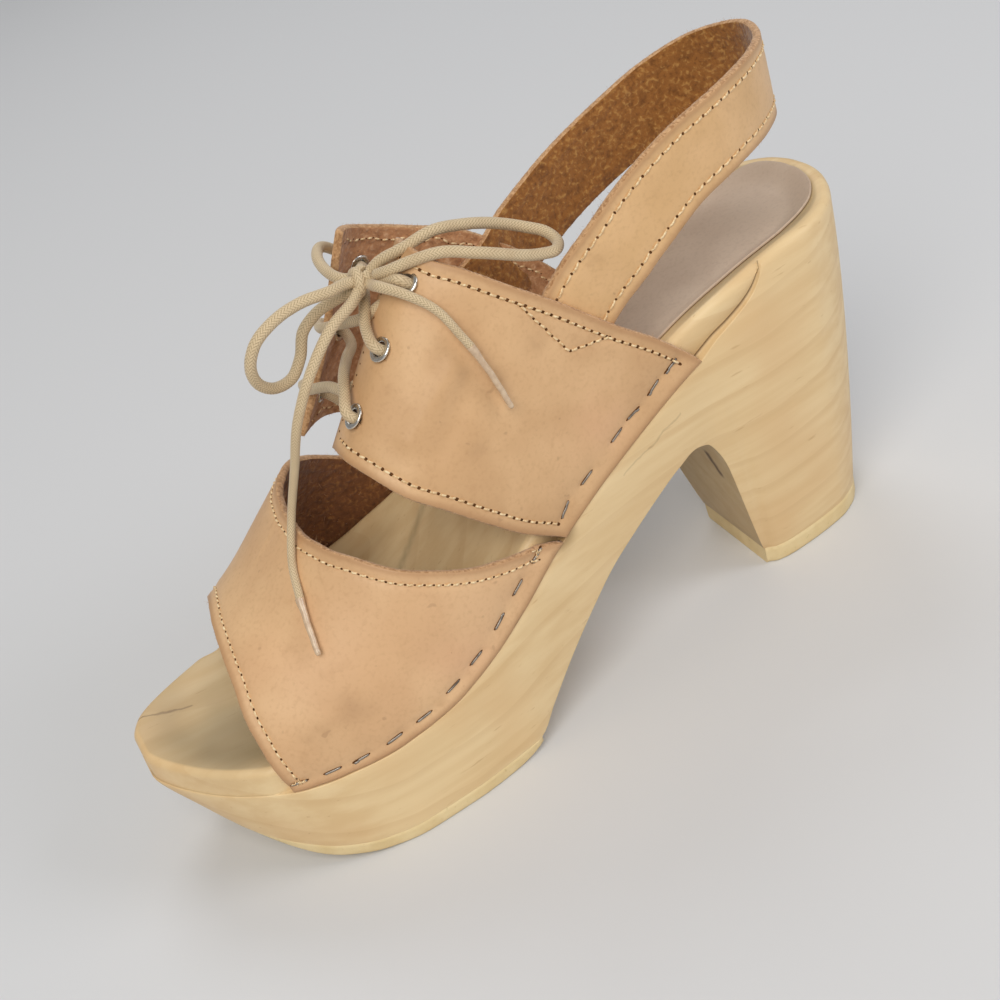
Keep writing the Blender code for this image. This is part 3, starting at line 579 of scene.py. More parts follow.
# Inside of a hole that a needle or staple made: burnt-looking dark brown, with no shine, painted this dark as
# the shade in the hole.
pierced = noisyFinish(
    "pierced hide",
    {"Roughness": 0.95, "Specular IOR Level": 0.1},
    {"deep": (0.8, 2.0, 0.0)},
    "#4a2f18",
    [("deep", "#6d4729", 0.3, 0.7)],
)
vampGrain = tannedLeather("cowhide grain, vamp", "#dcb588", "#d2a97d")
bandGrain = tannedLeather("cowhide grain, quarters", "#d8b082", "#caa174")
slingGrain = tannedLeather("cowhide grain, sling", "#deb583", "#d3aa77")
# The vamp's and the sling's flesh sides are darker than the hide's pale tan flesh, as painted shade inside
# the upper; the quarters' flesh side has the hide's own colour.
flesh = fleshSide("cowhide, rough flesh side", "#5a351b", "#7c4f2c", "#a2723f")
quarterFlesh = fleshSide("cowhide, rough flesh side of the quarters", "#92613e", "#bb885f", "#dab089")
shadedSlingFlesh = fleshSide("cowhide, rough flesh side of the sling", "#6b421f", "#966331", "#c29354")
wood, cotton = alder(), braidedCotton()
nickel = handledMetal("nickel plate, polished", "#dedbd4", "#bdb7ad", 0.16)
steel = handledMetal("steel staple wire", "#9c958d", "#5f574f", 0.36)
print("finishes ready")


def riding(piece, slot, *nodes):
    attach(piece, "root")
    if nodes:
        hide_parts(*nodes)
    return piece


# Camera, rolled as in the photo
view = {"place": (-104.7, -340.05, 286.49), "ahead": (0.243, 0.8018, -0.546), "roll": -20.6, "lens": 53.1}


def addCamera():
    ahead = Vector(view["ahead"]).normalized()
    level = ahead.cross(Vector((0, 0, 1))).normalized()
    turn = Matrix.Rotation(math.radians(-view["roll"]), 3, ahead)
    right = turn @ level
    data = bpy.data.cameras.new("camera")
    data.sensor_width, data.lens = 36.0, view["lens"]
    data.clip_start = 0.01
    camera = bpy.data.objects.new("camera", data)
    basis = Matrix((right, right.cross(ahead), -ahead)).transposed()
    camera.matrix_world = Matrix.Translation(Vector(view["place"]) * mm) @ basis.to_4x4()
    bpy.context.scene.collection.objects.link(camera)
    bpy.context.scene.camera = camera


addCamera()
print("camera set")


# Eyelets: rolled flange outside, barrel through the hide, clinched rim inside
eyelets = {
    "hole": 1.9,
    "barrel": 2.4,
    "flange": 3.5,
    "height": 0.95,
    "clinch": 3.1,
    "segments": 40,
    "dimple": (0.35, 5.0),  # depth and radius of the hide pressed down round the flange
    "outer": {"share": 0.812, "x": (-9.5, -21.5, -34.0), "lean": 0.42, "drop": 1.05},
    "inner": {"share": 0.675, "x": (-8.5, -20.0, -31.5), "lean": 0.0, "drop": 0.0},
}


def eyeletPlace(half, number):  # centre on the grain side and the way out of the hide
    x, share = eyelets[half]["x"][number - 1], eyelets[half]["share"]
    along = onForm(x + 1, share, half) - onForm(x - 1, share, half)
    around = onForm(x, share + 0.02, half) - onForm(x, share - 0.02, half)
    out = unit(np.cross(along, around))
    out = out if out[2] > 0 else -out
    centre = onForm(x, share, half) + out * (sandal["leather"] - eyelets[half]["drop"])
    lean = unit(around) * eyelets[half]["lean"]  # with the hide, which curls in at the throat
    return centre, unit(out + lean)


def eyeletProfile():  # radius and height over the grain side, round the rolled metal
    keys = ("hole", "barrel", "flange", "height", "clinch")
    hole, barrel, flange, height, clinch = (eyelets[key] for key in keys)
    foot = -sandal["leather"]
    points = []
    for a in np.linspace(-1.4, 1.57, 9):  # rolled flange
        points.append((flange - 0.62 + 0.62 * math.cos(a), 0.12 + 0.42 * (1 + math.sin(a))))
    for a in np.linspace(0.1, 1.57, 6):  # lip of the hole
        points.append((hole + 0.55 * (1 - math.sin(a)), height - 0.6 * (1 - math.cos(a))))
    for a in np.linspace(0, 1.57, 5):  # back of the hole
        points.append((hole + 0.5 * (1 - math.cos(a)), foot - 0.35 - 0.4 * math.sin(a)))
    points += [(clinch, foot - 0.7), (clinch + 0.1, foot - 0.3), (clinch - 0.3, foot - 0.1)]
    return np.array([*points, (barrel, foot), (barrel, 0.05)])


def addEyelet(half, number):
    centre, out = eyeletPlace(half, number)
    profile, count = eyeletProfile(), eyelets["segments"]
    first = unit(np.cross(out, (1.0, 0.2, 0.1)))
    second = np.cross(out, first)
    turn = np.linspace(0, 2 * math.pi, count, endpoint=False)
    ring = np.cos(turn)[:, None] * first + np.sin(turn)[:, None] * second
    points = centre + ring[None] * profile[:, None, :1] + out * profile[:, None, 1:]
    faces = gridFaces(len(profile), count, closed=True).tolist()
    last = (len(profile) - 1) * count
    faces += [[last + k, k, (k + 1) % count, last + (k + 1) % count] for k in range(count)]
    piece = addPiece(f"eyelet.{half}.{number}", points.reshape(-1, 3), faces, [nickel], turnOut=True)
    riding(piece, "nickel", f"eyelet_{half}_{number}")


for half in ("outer", "inner"):
    for number in (1, 2, 3):
        addEyelet(half, number)
print("eyelets made")


# Lace: one cord through the eyelets, a bow with two loops and two tipped ends
lace = {"step": 0.42, "sides": 24, "crossing": 1.5, "worn": 0.26}


def tube(path, radius, sides, relief=None):  # points, faces and UV of a round tube with closed ends
    across, up = frames(path)
    along = lengths(path)
    turn = np.linspace(0, 2 * math.pi, sides, endpoint=False)
    radius = np.broadcast_to(np.asarray(radius, float).reshape(-1, 1), (len(path), sides)).copy()
    if relief:
        radius += relief(turn[None] / (2 * math.pi), along[:, None])
    ring = np.cos(turn)[None, :, None] * across[:, None] + np.sin(turn)[None, :, None] * up[:, None]
    points = (path[:, None] + ring * radius[..., None]).reshape(-1, 3)
    faces = gridFaces(len(path), sides, closed=True)
    i, j = np.divmod(np.arange(len(faces)), sides)
    corners = ((0, 0), (1, 0), (1, 1), (0, 1))
    uv = np.stack([np.stack([(j + dj) / sides, along[i + di]], -1) for di, dj in corners], 1)
    last = (len(path) - 1) * sides
    caps = [list(range(sides))[::-1], list(range(last, last + sides))]
    loopUv = np.concatenate([uv.reshape(-1, 2), np.zeros((2 * sides, 2))])
    return points, faces.tolist() + caps, loopUv


def braidRelief(around, along):
    return braid["relief"] * (braidHeight(around, along) - 0.75)


def addLace(name, path, worn=0.0):  # worn: how much thinner its far end is
    radius = braid["diameter"] / 2 * (1 - worn * ease(np.linspace(0, 1, len(path)) * 1.2))
    points, faces, uv = tube(path, radius, lace["sides"], braidRelief)
    return addPiece(name, points, faces, [cotton], loopUv=uv, turnOut=True)


# The solids' routes, the short end laid on the hide and the back loop brought over the quarter's corner
loopBack = [
    (-12.9, -9.0, 141.2),
    (-6.1, -14.1, 144.0),
    (1.4, -15.6, 145.2),
    (9.4, -14.8, 142.8),
    (26.2, -13.9, 133.5),
    (29.8, -16.6, 131.2),
    (30.3, -21.3, 129.5),
    (27.3, -25.4, 129.5),
    (22.6, -26.5, 131.1),
    (7.5, -26.8, 139.2),
    (-0.7, -23.0, 142.4),
    (-7.7, -19.2, 142.2),
    (-12.4, -15.4, 141.0),
]
loopFront = [
    (-21.6, -7.6, 139.6),
    (-26.8, -10.0, 140.8),
    (-35.0, -11.0, 142.2),
    (-42.6, -12.0, 141.7),
    (-49.5, -12.0, 138.4),
    (-52.6, -11.0, 133.4),
    (-52.2, -8.5, 127.0),
    (-48.2, -6.0, 122.6),
    (-43.0, -4.0, 122.0),
    (-39.0, -3.2, 125.4),
    (-35.3, -3.0, 131.6),
    (-30.6, -3.0, 134.2),
    (-22.2, -4.6, 136.0),
]
endShort = [
    (-16.4, -10.6, 137.6),
    (-16.2, -16.2, 138.6),
    (-13.2, -22.8, 137.2),
    (-8.4, -28.6, 131.8),
    (-6.0, -32.4, 124.6),
    (-4.9, -33.8, 121.0),
]
endLong = [
    (-20.4, -9.4, 136.6),
    (-31.8, -15.2, 134.0),
    (-40.9, -17.0, 127.0),
    (-48.2, -16.0, 117.0),
    (-53.7, -11.7, 102.5),
    (-59.7, -9.1, 88.1),
    (-64.8, -14.0, 80.1),
    (-68.2, -22.7, 74.3),
]
strandInner = [
    (-12.0, 27.6, 134.0),
    (-16.2, 23.8, 138.4),
    (-20.2, 16.0, 139.8),
    (-21.6, 8.0, 139.2),
    (-20.1, -2.2, 138.5),
]
tipShort = [(-4.8, -33.9, 120.5), (-3.1, -35.5, 112.9), (-2.2, -36.4, 107.6), (-1.4, -37.0, 102.5)]
tipLong = [(-68.4, -23.2, 73.9), (-70.0, -28.5, 69.3), (-71.4, -33.6, 64.3)]
knotCentre = np.array((-17.0, -6.4, 138.0))


def intoKnot(points, first=True, last=False):  # the route, with its knot ends taken on into the knot
    points = [np.array(p) for p in points]
    head = [points[0] + (knotCentre - points[0]) * 0.45] if first else []
    tail = [points[-1] + (knotCentre - points[-1]) * 0.45] if last else []
    return np.array(head + points + tail)


# Aglet: film wound round the end of the lace, crimped in at the top, tapering, its tip rounded off
tipLook = {
    "overlap": 1.2,
    "step": 0.35,
    "sides": 20,
    "radius": 1.22,
    "crimp": 0.3,
    "taper": 0.14,
    "tip": 0.3,
    "wave": 0.035,
    "turn": 6.0,
}


def filmRelief(around, along):
    return tipLook["wave"] * np.sin(2 * math.pi * (around + along / tipLook["turn"]))


def addTip(name, points, node):
    look, start = tipLook, np.array(points[0])
    path = roundedRoute([start - unit(points[1] - start) * look["overlap"], *points], look["step"])
    share = np.linspace(0, 1, len(path))
    radius = look["radius"] - look["crimp"] * ease(share * 4) - look["taper"] * share
    radius -= look["tip"] * np.clip((share - 0.95) / 0.05, 0, 1) ** 2
    made, faces, uv = tube(path, radius, look["sides"], filmRelief)
    return riding(addPiece(name, made, faces, [film], loopUv=uv, turnOut=True), "aglet", node)


def addBow():
    for which, points, tip in (("short", endShort, tipShort), ("long", endLong, tipLong)):
        path = roundedRoute(intoKnot(points), lace["step"])
        piece = riding(addLace(f"lace.end.{which}", path, lace["worn"]), "lace", f"lace_end_{which}")
        aglet = addTip(f"aglet.{which}", tip, f"aglet_{which}")
        declare(piece, path)
    for which, points in (("back", loopBack), ("front", loopFront)):
        path = roundedRoute(intoKnot(points, last=True), lace["step"])
        piece = riding(addLace(f"lace.loop.{which}", path), "lace", f"lace_loop_{which}")
        declare(piece, path)


def declare(piece, path):
    print(piece.name, "is", round(float(lengths(path)[-1])), "mm long")


def addLacing():
    def at(half, number, height):
        centre, out = eyeletPlace(half, number)
        return centre + out * height

    inside, outside = -sandal["leather"] - 1.6, 2.3
    over = np.array((0, 0, lace["crossing"]))
    nearEdge = [(-34.2, -12.5, 115.0), (-22.3, -12.1, 128.9)]
    nearUnder = [(-26.0, -10.5, 116.0), (-14.6, -10.8, 131.8)]
    farEdge = [(-36.2, 17.5, 106.0), (-26.4, 17.0, 120.6)]
    farUnder = [(-19.6, 20.5, 112.4), (-9.6, 18.5, 130.2)]
    middle = [((-31.0, -5.5, 114.6), (-26.0, 6.0, 113.6)), ((-18.6, -6.0, 131.0), (-14.0, 6.0, 131.4))]
    below = [((-33.6, 4.0, 110.8), (-31.0, -6.5, 114.2)), ((-23.6, 4.0, 126.0), (-19.6, -6.5, 130.2))]
    route = [knotCentre + (1.5, -2.5, -1.0), (-13.6, -13.0, 138.0)]
    route += [at("outer", 1, outside), at("outer", 1, inside), nearUnder[1]]
    route += [np.array(below[1][1]) - over, np.array(below[1][0]) - over * 0.6, farEdge[1]]
    route += [at("inner", 2, outside), at("inner", 2, inside), farUnder[0]]
    route += [np.array(middle[0][1]) + over * 0.5, np.array(middle[0][0]) + over, nearEdge[0]]
    route += [at("outer", 3, outside), at("outer", 3, inside), (-30.0, -8.0, 104.0), (-28.0, 8.0, 97.5)]
    route += [at("inner", 3, inside), at("inner", 3, outside), farEdge[0], below[0][0]]
    route += [np.array(below[0][1]) - over, nearUnder[0]]
    route += [at("outer", 2, inside), at("outer", 2, outside), nearEdge[1]]
    route += [np.array(middle[1][0]) + over * 0.7, middle[1][1], farUnder[1]]
    route += [at("inner", 1, inside), at("inner", 1, 1.2)]
    path = roundedRoute(route, lace["step"])
    riding(addLace("lace.crossings", path), "lace", "lace_crossing_lower", "lace_crossing_upper")
    print("lace through the eyelets is", round(float(lengths(path)[-1])), "mm long")
    toKnot = intoKnot(strandInner, first=False, last=True)
    strand = roundedRoute([at("inner", 1, 0.6), *toKnot], lace["step"])
    piece = riding(addLace("lace.strand.inner", strand), "lace", "lace_strand_inner")
    declare(piece, strand)


def addKnot():
    turns = []
    for shift, lean, start in ((-1.7, 0.25, 0.4), (1.5, -0.3, 2.2)):
        turn = np.linspace(start, start + 2 * math.pi * 0.97, 60)
        ring = np.stack([shift + lean * 3 * np.sin(turn), np.cos(turn) * 2.6, np.sin(turn) * 2.4], 1)
        turns.append(knotCentre + ring)
    thick = braid["diameter"] / 2
    parts = [tube(roundedRoute(path, lace["step"]), thick, lace["sides"], braidRelief) for path in turns]
    first = len(parts[0][0])
    points, uv = (np.concatenate([part[k] for part in parts]) for k in (0, 2))
    faces = parts[0][1] + [[k + first for k in f] for f in parts[1][1]]
    piece = addPiece("lace.knot", points, faces, [cotton], loopUv=uv, turnOut=True)
    riding(piece, "lace", "lace_knot")


addBow()
addLacing()
addKnot()
print("lace made")


# Sole: carved wood, rebated round its edge. Behind the quarters the rebate sweeps up to the rim and ends.
soleLook = {
    "stations": 230,
    "fine": [(48.0, 61.0, 44), (71.0, 82.0, 40)],  # breast of the heel, end of the rebate
    "across": 47,
    # depth of the rebate along the foot
    "rebate": [(-124.0, 0.5), (-97.5, 0.5), (-91.5, 2.6), (54.0, 2.6), (60.0, 2.0), (68.0, 1.1), (81.0, 0.8)],
    "sweep": [
        (55.0, 11.0),
        (58.0, 10.2),
        (62.0, 9.2),
        (67.0, 8.5),
        (72.0, 7.5),
        (75.5, 6.2),
        (78.0, 4.4),
        (79.6, 2.4),
        (80.4, 1.0),
        (80.9, 0.0),
    ],
    "scribe": 0.95,  # the cutter left a line at the foot of the step, between these two x
    "scribed": (50.0, 81.0),
    "rim": 2.2,
    "ledge": 0.4,
    "underRound": 0.15,
    "footbedRim": 2.4,
    "footbedEase": 11.0,
    # grey-green stain at the toe, darkened as painted shade where it runs under the vamp's lip: centre and
    # radius
    "toeStainAndShade": (-98.0, -14.0, 40.0, 14.0),
    "toeDirt": (-76.0, 12.0, 0.42),  # from this x forward, over this length, how strongly
    "streak": ((-17.5, 19.2, 54.8), (-35.2, 7.4, 46.6), 1.7, 0.6),
    "bowl": (45.0, 0.55),  # shaded lip round the sock: from this x, how strongly
    "lip": (3.0, 11.0),  # where that lip lies, in from the outline
    # painted shade on the heel's breast: from this x, over this length, how strongly
    "breastShade": (46.0, 8.0, 0.6),
    "gapShade": (-0.5, -33.0, 60.0, 6.0),
}


def soleStations():
    xs = -sandal["halfLength"] * np.cos(np.linspace(0, math.pi, soleLook["stations"]))
    for first, last, count in soleLook["fine"]:
        xs = np.concatenate([xs[xs < first], np.linspace(first, last, count), xs[xs > last]])
    return xs


stations = soleStations()
acrossShares = (1 - np.cos(np.linspace(0, math.pi, soleLook["across"]))) / 2
everyX = np.linspace(-sandal["halfLength"], sandal["halfLength"], 1500)
outlineCloud = [(x, edge(x), 0.0) for edge in (planOuter, planInner) for x in everyX]


def outline(xs, edge):
    end = (planOuter(stations[[0, -1]]) + planInner(stations[[0, -1]])) / 2
    wideX = np.concatenate([stations[:1], stations, stations[-1:]])
    wideY = np.concatenate([end[:1], edge(stations), end[1:]])
    along = unit(np.stack([wideX[2:] - wideX[:-2], wideY[2:] - wideY[:-2]], 1))
    out = np.stack([-along[:, 1], along[:, 0]], 1) * (1 if edge is planInner else -1)
    return np.stack([xs, edge(xs)], 1), out[np.searchsorted(stations, xs)]


def planGrid(xs, inset, shift=0.0, inner=0.0):  # inner: what the inner side stands in further
    edges = []
    for edge, more in ((planOuter, 0.0), (planInner, inner)):
        points, out = outline(xs, edge)
        edges.append(points - out * np.broadcast_to(inset + more, xs.shape)[:, None])
        edges[-1][:, 0] += shift
    return edges[0][:, None] + (edges[1] - edges[0])[:, None] * acrossShares[None, :, None]


def raised(flat, height):
    height = np.broadcast_to(np.asarray(height).reshape(len(flat), -1), flat.shape[:2])
    return np.concatenate([flat, height[:, :, None]], 2)


def footbed(flat):
    gap = nearest(raised(flat, np.zeros(len(flat))), outlineCloud)
    dip = ease((gap - soleLook["footbedRim"]) / soleLook["footbedEase"])
    return rimHeight(flat[..., 0]) - dishDepth(flat[..., 0]) * dip


def border(rows, cols):
    down = [(i, 0) for i in range(rows)] + [(rows - 1, j) for j in range(1, cols)]
    return down + [(i, cols - 1) for i in range(rows - 2, -1, -1)] + [(0, j) for j in range(cols - 2, 0, -1)]


def ringOf(grid):
    return np.array([grid[place] for place in border(*grid.shape[:2])])


def skin(top, bottom, rings):  # points and faces of a solid between two grids, closed through rings
    rows, cols = top.shape[:2]
    places = [i * cols + j for i, j in border(rows, cols)]
    count = len(places)
    points = np.concatenate([top.reshape(-1, 3), bottom.reshape(-1, 3), *rings])
    faces = [gridFaces(rows, cols), gridFaces(rows, cols, rows * cols)]
    loops = [np.array(places)]
    loops += [2 * rows * cols + r * count + np.arange(count) for r in range(len(rings))]
    loops.append(rows * cols + np.array(places))
    for above, below in zip(loops, loops[1:]):
        faces.append(np.stack([above, np.roll(above, -1), np.roll(below, -1), below], 1))
    return points, np.concatenate(faces)


# Dirt and shade on the wood, and the scribed line. around: how many points a ring of the sole has
def markSole(piece, points, flat, top, bottom, around):
    look = soleLook
    # stain at the toe, partly painted shade under the vamp's lip
    spot = np.array(look["toeStainAndShade"][:3])
    near = np.linalg.norm(points - spot, axis=1) / look["toeStainAndShade"][3]
    dirt = 0.75 * np.exp(-(near**2))
    start, end, width, strength = look["streak"]
    streak = strength * np.exp(-((nearest(top, np.linspace(start, end, 40)) / width) ** 2))
    toeEnd, reach, strength = look["toeDirt"]
    toe = strength * ease((toeEnd - top[..., 0]) / reach) * (1 + 0.4 * waves(top, 9))
    # painted shade on the dish's lip round the sock
    gap = nearest(raised(flat, np.zeros(len(flat))), outlineCloud)
    (first, strength), (close, far) = look["bowl"], look["lip"]
    bowl = strength * ease((top[..., 0] - first) / 20) * ease((gap - close) / 1.5) * ease((far - gap) / 2)
    count = top.size // 3
    dirt[:count] += (streak + toe + bowl).ravel()
    # painted shade on the heel's breast
    first, reach, strength = look["breastShade"]
    dirt[count : 2 * count] += strength * ease((bottom[..., 0].ravel() - first) / reach)
    # stains and dirt, with painted shade round the sock and on the heel's breast
    setAttribute(piece, "stainAndShade", np.clip(dirt, 0, 1))
    # painted shade along the scribed line, strongest where the rebate sweeps up to its end, and in the gap
    # under the quarter's front corner
    corner = 2 * count + 6 * around + np.arange(around)  # the scribed ring
    rimShade = np.zeros(len(points))
    first, last = look["scribed"]
    x = points[corner, 0]
    rimShade[corner] = 0.2 + 0.8 * ease((x - first) / 6) * ease((last - x) / 3)
    near = np.linalg.norm(points - np.array(look["gapShade"][:3]), axis=1) / look["gapShade"][3]
    rimShade = np.maximum(rimShade, 0.9 * np.exp(-(near**4)))
    setAttribute(piece, "rim", rimShade)


def addSole():
    x, look = stations, soleLook
    rim, low, inset, shift = rimHeight(x), underHeight(x), underInset(x), underShift(x)
    deep, sweep = (smooth(*zip(*look[key])) for key in ("rebate", "sweep"))
    drop = np.where(x < look["sweep"][0][0], rebateDrop(x), sweep(x))
    upper = np.minimum(look["rim"], 0.7 * drop)  # rounding of the rim over the rebate
    lower = np.maximum(look["rim"] - upper, look["ledge"])  # rounding of the edge under it
    wall = np.maximum(deep(x) * ease(drop / 2.5), lower)
    ledge = rim - drop
    flat = planGrid(x, wall + upper)
    bed = footbed(flat)
    top, edgeTop = raised(flat, bed), bed[:, 0]
    rings = []
    for a in np.radians((20, 40, 60, 75, 90)):
        rings.append((wall + upper * (1 - np.sin(a)), 0.0, edgeTop - upper * (1 - np.cos(a))))
    slight = 0.12 * np.minimum(drop, 1)
    first = look["scribed"][0]
    scribed = look["scribe"] * ease((x - first) / 5) * np.minimum(drop, 1)
    rings.append((wall, 0.0, ledge + slight + 1.5 * scribed))
    rings.append((wall + scribed, 0.0, ledge + slight / 2 + 0.6 * scribed))
    rings.append((wall - slight, 0.0, ledge))
    for a in np.radians((0, 30, 60, 90)):
        rings.append((lower * (1 - np.sin(a)), 0.0, ledge - lower * (1 - np.cos(a))))
    start, end, inner = ledge - lower, low + look["underRound"], innerInset(x)
    for t in np.linspace(0, 1, 12)[1:]:
        rings.append((inset * t**1.5, shift * t, inner * t**1.5, start + (end - start) * t))
    for a in np.radians((30, 60)):
        turn = look["underRound"] * np.array((1 - np.cos(a), np.sin(a)))
        rings.append((inset + turn[0], shift, inner, end - turn[1]))
    loops = [ringOf(raised(planGrid(x, *place), z)) for *place, z in rings]
    bottom = raised(planGrid(x, inset + look["underRound"], shift, inner), low)
    points, faces = skin(top, bottom, loops)
    piece = addPiece("sole", points, faces, [wood], turnOut=True)
    markSole(piece, points, flat, top, bottom, len(loops[0]))
    riding(piece, "wood", "sole")


tread = {
    "first": -113.5,
    "last": -24.4,
    "thickness": 4.5,
    "taper": 20.0,  # over which it thins out at the toe
    # how its back end lifts
    "rear": [(-40.0, 0.0), (-36.0, 0.1), (-32.5, 0.5), (-29.4, 1.1), (-26.5, 2.2), (-24.5, 3.4)],
}
heelLift = {"first": 59.0, "last": 123.2, "thickness": 6.0}


def addRubber(name, node, first, last, thickness, taper=0.0, rear=((0, 0), (1, 0))):
    x = stations[(stations >= first) & (stations <= last)]
    inset, low, shift, inner = underInset(x) + 0.02, underHeight(x) + 0.12, underShift(x), innerInset(x)
    base = underHeight(x) - thickness * (ease((x - first + 0.6) / taper) if taper else 1)
    base = np.maximum(base, smooth(*zip(*rear))(x))
    rings = [(inset + 0.2, low - 0.05), (inset, low - 0.15)]
    rings += [(inset + 0.25 * t, low + (base - low) * t) for t in (0.3, 0.55, 0.8)]
    rings += [(inset + 0.35, base + 0.45), (inset + 0.7, base + 0.12)]
    top = raised(planGrid(x, inset + 0.8, shift, inner), low)
    bottom = raised(planGrid(x, inset + 1.1, shift, inner), base)
    loops = [ringOf(raised(planGrid(x, i, shift, inner), z)) for i, z in rings]
    points, faces = skin(top, bottom, loops)
    riding(addPiece(name, points, faces, [rubber], turnOut=True), "rubber", node)


sock = {
    "inset": 9.7,
    "heel": 4.6,  # inset round the back of the heel
    "turn": (98.0, 22.0),  # where the inset starts to change, and over what length
    "front": 20.0,
    "lift": 0.2,
    "thickness": 0.85,
    "round": 0.4,
    "rings": ((0.85, 0.3), (0.65, 0.0), (0.3, 0.0)),  # shares of the thickness and of the rounding
}


def addSock():
    x = stations[stations >= sock["front"]]
    first, reach = sock["turn"]
    inset = sock["inset"] + (sock["heel"] - sock["inset"]) * ease((x - first) / reach)
    flat = planGrid(x, inset + sock["round"])
    top = raised(flat, footbed(flat) + sock["lift"] + sock["thickness"])
    wide = planGrid(x, inset)
    edge = footbed(wide) + sock["lift"]
    loops = []
    for share, inward in sock["rings"]:
        grid = raised(planGrid(x, inset + inward * sock["round"]), edge + share * sock["thickness"])
        loops.append(ringOf(grid))
    points, faces = skin(top, raised(wide, edge), loops)
    riding(addPiece("heel.sock", points, faces, [sockFinish], turnOut=True), "sock", "heel_sock")


addSole()
addRubber("forefoot.tread", "forefoot_tread", **tread)
addRubber("heel.lift", "heel_lift", **heelLift)
addSock()
print("sole made")


# Upper: vamp, two quarters and the sling, cut from hide and left raw at the edges
hide = {
    # share of the thickness and bulge, round the cut edge
    "rings": ((0.94, 0.12), (0.76, 0.32), (0.5, 0.4), (0.24, 0.32), (0.06, 0.12)),
    "fibre": 0.14,
    "nap": 0.16,
    "napSize": 2.3,
    "rimWidth": 1.6,
    "swell": {"vamp": (0.12, 30), "quarter": (0.12, 26), "sling": (0.15, 24)},  # height and size
}
vampEdges = columns(
    ("share", "toeOuter", "toeInner", "topOuter", "topInner"),
    [
        (0.0, -92.5, -89.0, -0.6, -4.0),
        (0.09, -93.4, -88.8, -10.4, -12.0),
        (0.25, -94.1, -87.4, -27.0, -25.5),
        (0.37, -94.1, -86.2, -37.0, -33.5),
        (0.48, -93.5, -85.4, -45.0, -39.5),
        (0.6, -92.2, -85.2, -51.0, -45.2),
        (0.72, -91.2, -85.4, -55.5, -50.5),
        (0.87, -89.7, -86.8, -58.0, -55.8),
        (1.0, -88.4, -88.4, -57.8, -57.8),
    ],
)
quarterEdges = columns(
    ("share", "outerLow", "outerHigh", "innerLow", "innerHigh"),
    [
        (0.0, 1.0, 55.5, 1.0, 56.5),
        (0.13, -9.0, 44.6, -7.5, 47.0),
        (0.25, -16.4, 34.0, -14.5, 37.5),
        (0.42, -26.0, 21.0, -23.5, 22.5),
        (0.57, -34.1, 10.2, -33.0, 7.8),
        (0.7, -38.6, 2.0, -40.6, -2.6),
        (0.78, -40.7, -2.7, -42.8, -7.6),
        (0.9, -43.2, -6.7, -44.0, -13.4),
    ],
)
quarterFront = {"outer": (0.893, 0.918), "inner": (0.74, 0.862)}
# how steeply the lace draws in the front edge, and from how far back
frontCurl = {"reach": 12.0, "ramp": 3.0, "outer": 0.4, "inner": 0.0}
slingMiddle = [
    (16.0, -30.0, 104.5),
    (27.0, -30.0, 113.0),
    (44.0, -31.5, 126.0),
    (62.0, -32.5, 136.0),
    (80.0, -29.5, 139.5),
    (97.0, -20.0, 139.5),
    (109.0, -7.0, 138.5),
    (113.0, 6.0, 138.0),
    (107.0, 18.5, 136.0),
    (94.0, 27.0, 131.5),
    (77.0, 30.5, 125.5),
    (60.0, 31.0, 119.5),
    (44.0, 29.5, 113.0),
    (28.0, 27.0, 106.0),
    (17.0, 26.0, 101.0),
]
slingSize = {"width": 22.0, "sewn": (26.0, 42.0), "inside": (60.0, 0.0, 125.0)}


def vampGrid(across=84, along=120):
    shares, t = np.linspace(0, 1, across), np.linspace(0, 1, along)
    grids = []
    for half, name in (("outer", "Outer"), ("inner", "Inner")):
        toe, top = (smooth(vampEdges["share"], vampEdges[c + name])(shares)[:, None] for c in ("toe", "top"))
        grids.append(onForm(toe + (top - toe) * t, shares[:, None], half))
    return np.concatenate([grids[0], grids[1][-2::-1]])


def quarterGrid(half, parts=130, along=96):
    part, t = np.linspace(0, 1, parts)[:, None], np.linspace(0, 1, along)[None]
    low, high = quarterFront[half]
    share = part * (low + (high - low) * t)
    first, last = (smooth(quarterEdges["share"], quarterEdges[half + c])(share) for c in ("Low", "High"))
    return onForm(first + (last - first) * t, share, half)


def slingGrids(step=0.8, across=30):
    route = roundedRoute(slingMiddle, step)
    along = unit(np.gradient(route, axis=0))
    out = unit(np.stack([along[:, 1], -along[:, 0], np.zeros(len(along))], 1))
    up = np.cross(along, out)
    up *= np.sign(up[:, 2:3])
    share = np.linspace(-0.5, 0.5, across) * slingSize["width"]
    middle = route[:, None] + up[:, None] * share[None, :, None]
    faces = [middle + out[:, None] * sandal["leather"] / 2, middle - out[:, None] * sandal["leather"] / 2]
    first, last = slingSize["sewn"]
    for i in range(len(route)):
        half = "outer" if route[i, 1] < 0 else "inner"
        held = 1 - ease((route[i, 0] - first) / (last - first))
        for grid, depth in zip(faces, (0.08, sandal["leather"] + 0.05)):
            onWall = wallY(grid[i, :, 0], grid[i, :, 2], half) + halves[half]["inward"] * depth
            grid[i, :, 1] += held * (onWall - grid[i, :, 1])
    return faces


def outward(grid, away):
    normal = unit(np.cross(np.gradient(grid, axis=0), np.gradient(grid, axis=1)))
    return normal * np.sign((normal * away).sum())


def footAway(grid):  # from the middle of the foot
    x = grid[..., 0]
    return grid - np.stack([x, ridgeY(x), rimHeight(x)], -1)


def footToward(grid):
    return -footAway(grid)


def borders(grid):
    return {"first": grid[:, 0], "last": grid[:, -1], "foot": grid[0], "front": grid[-1]}


def dense(path, step=0.25):
    return spaced(path, np.arange(0, lengths(path)[-1], step))


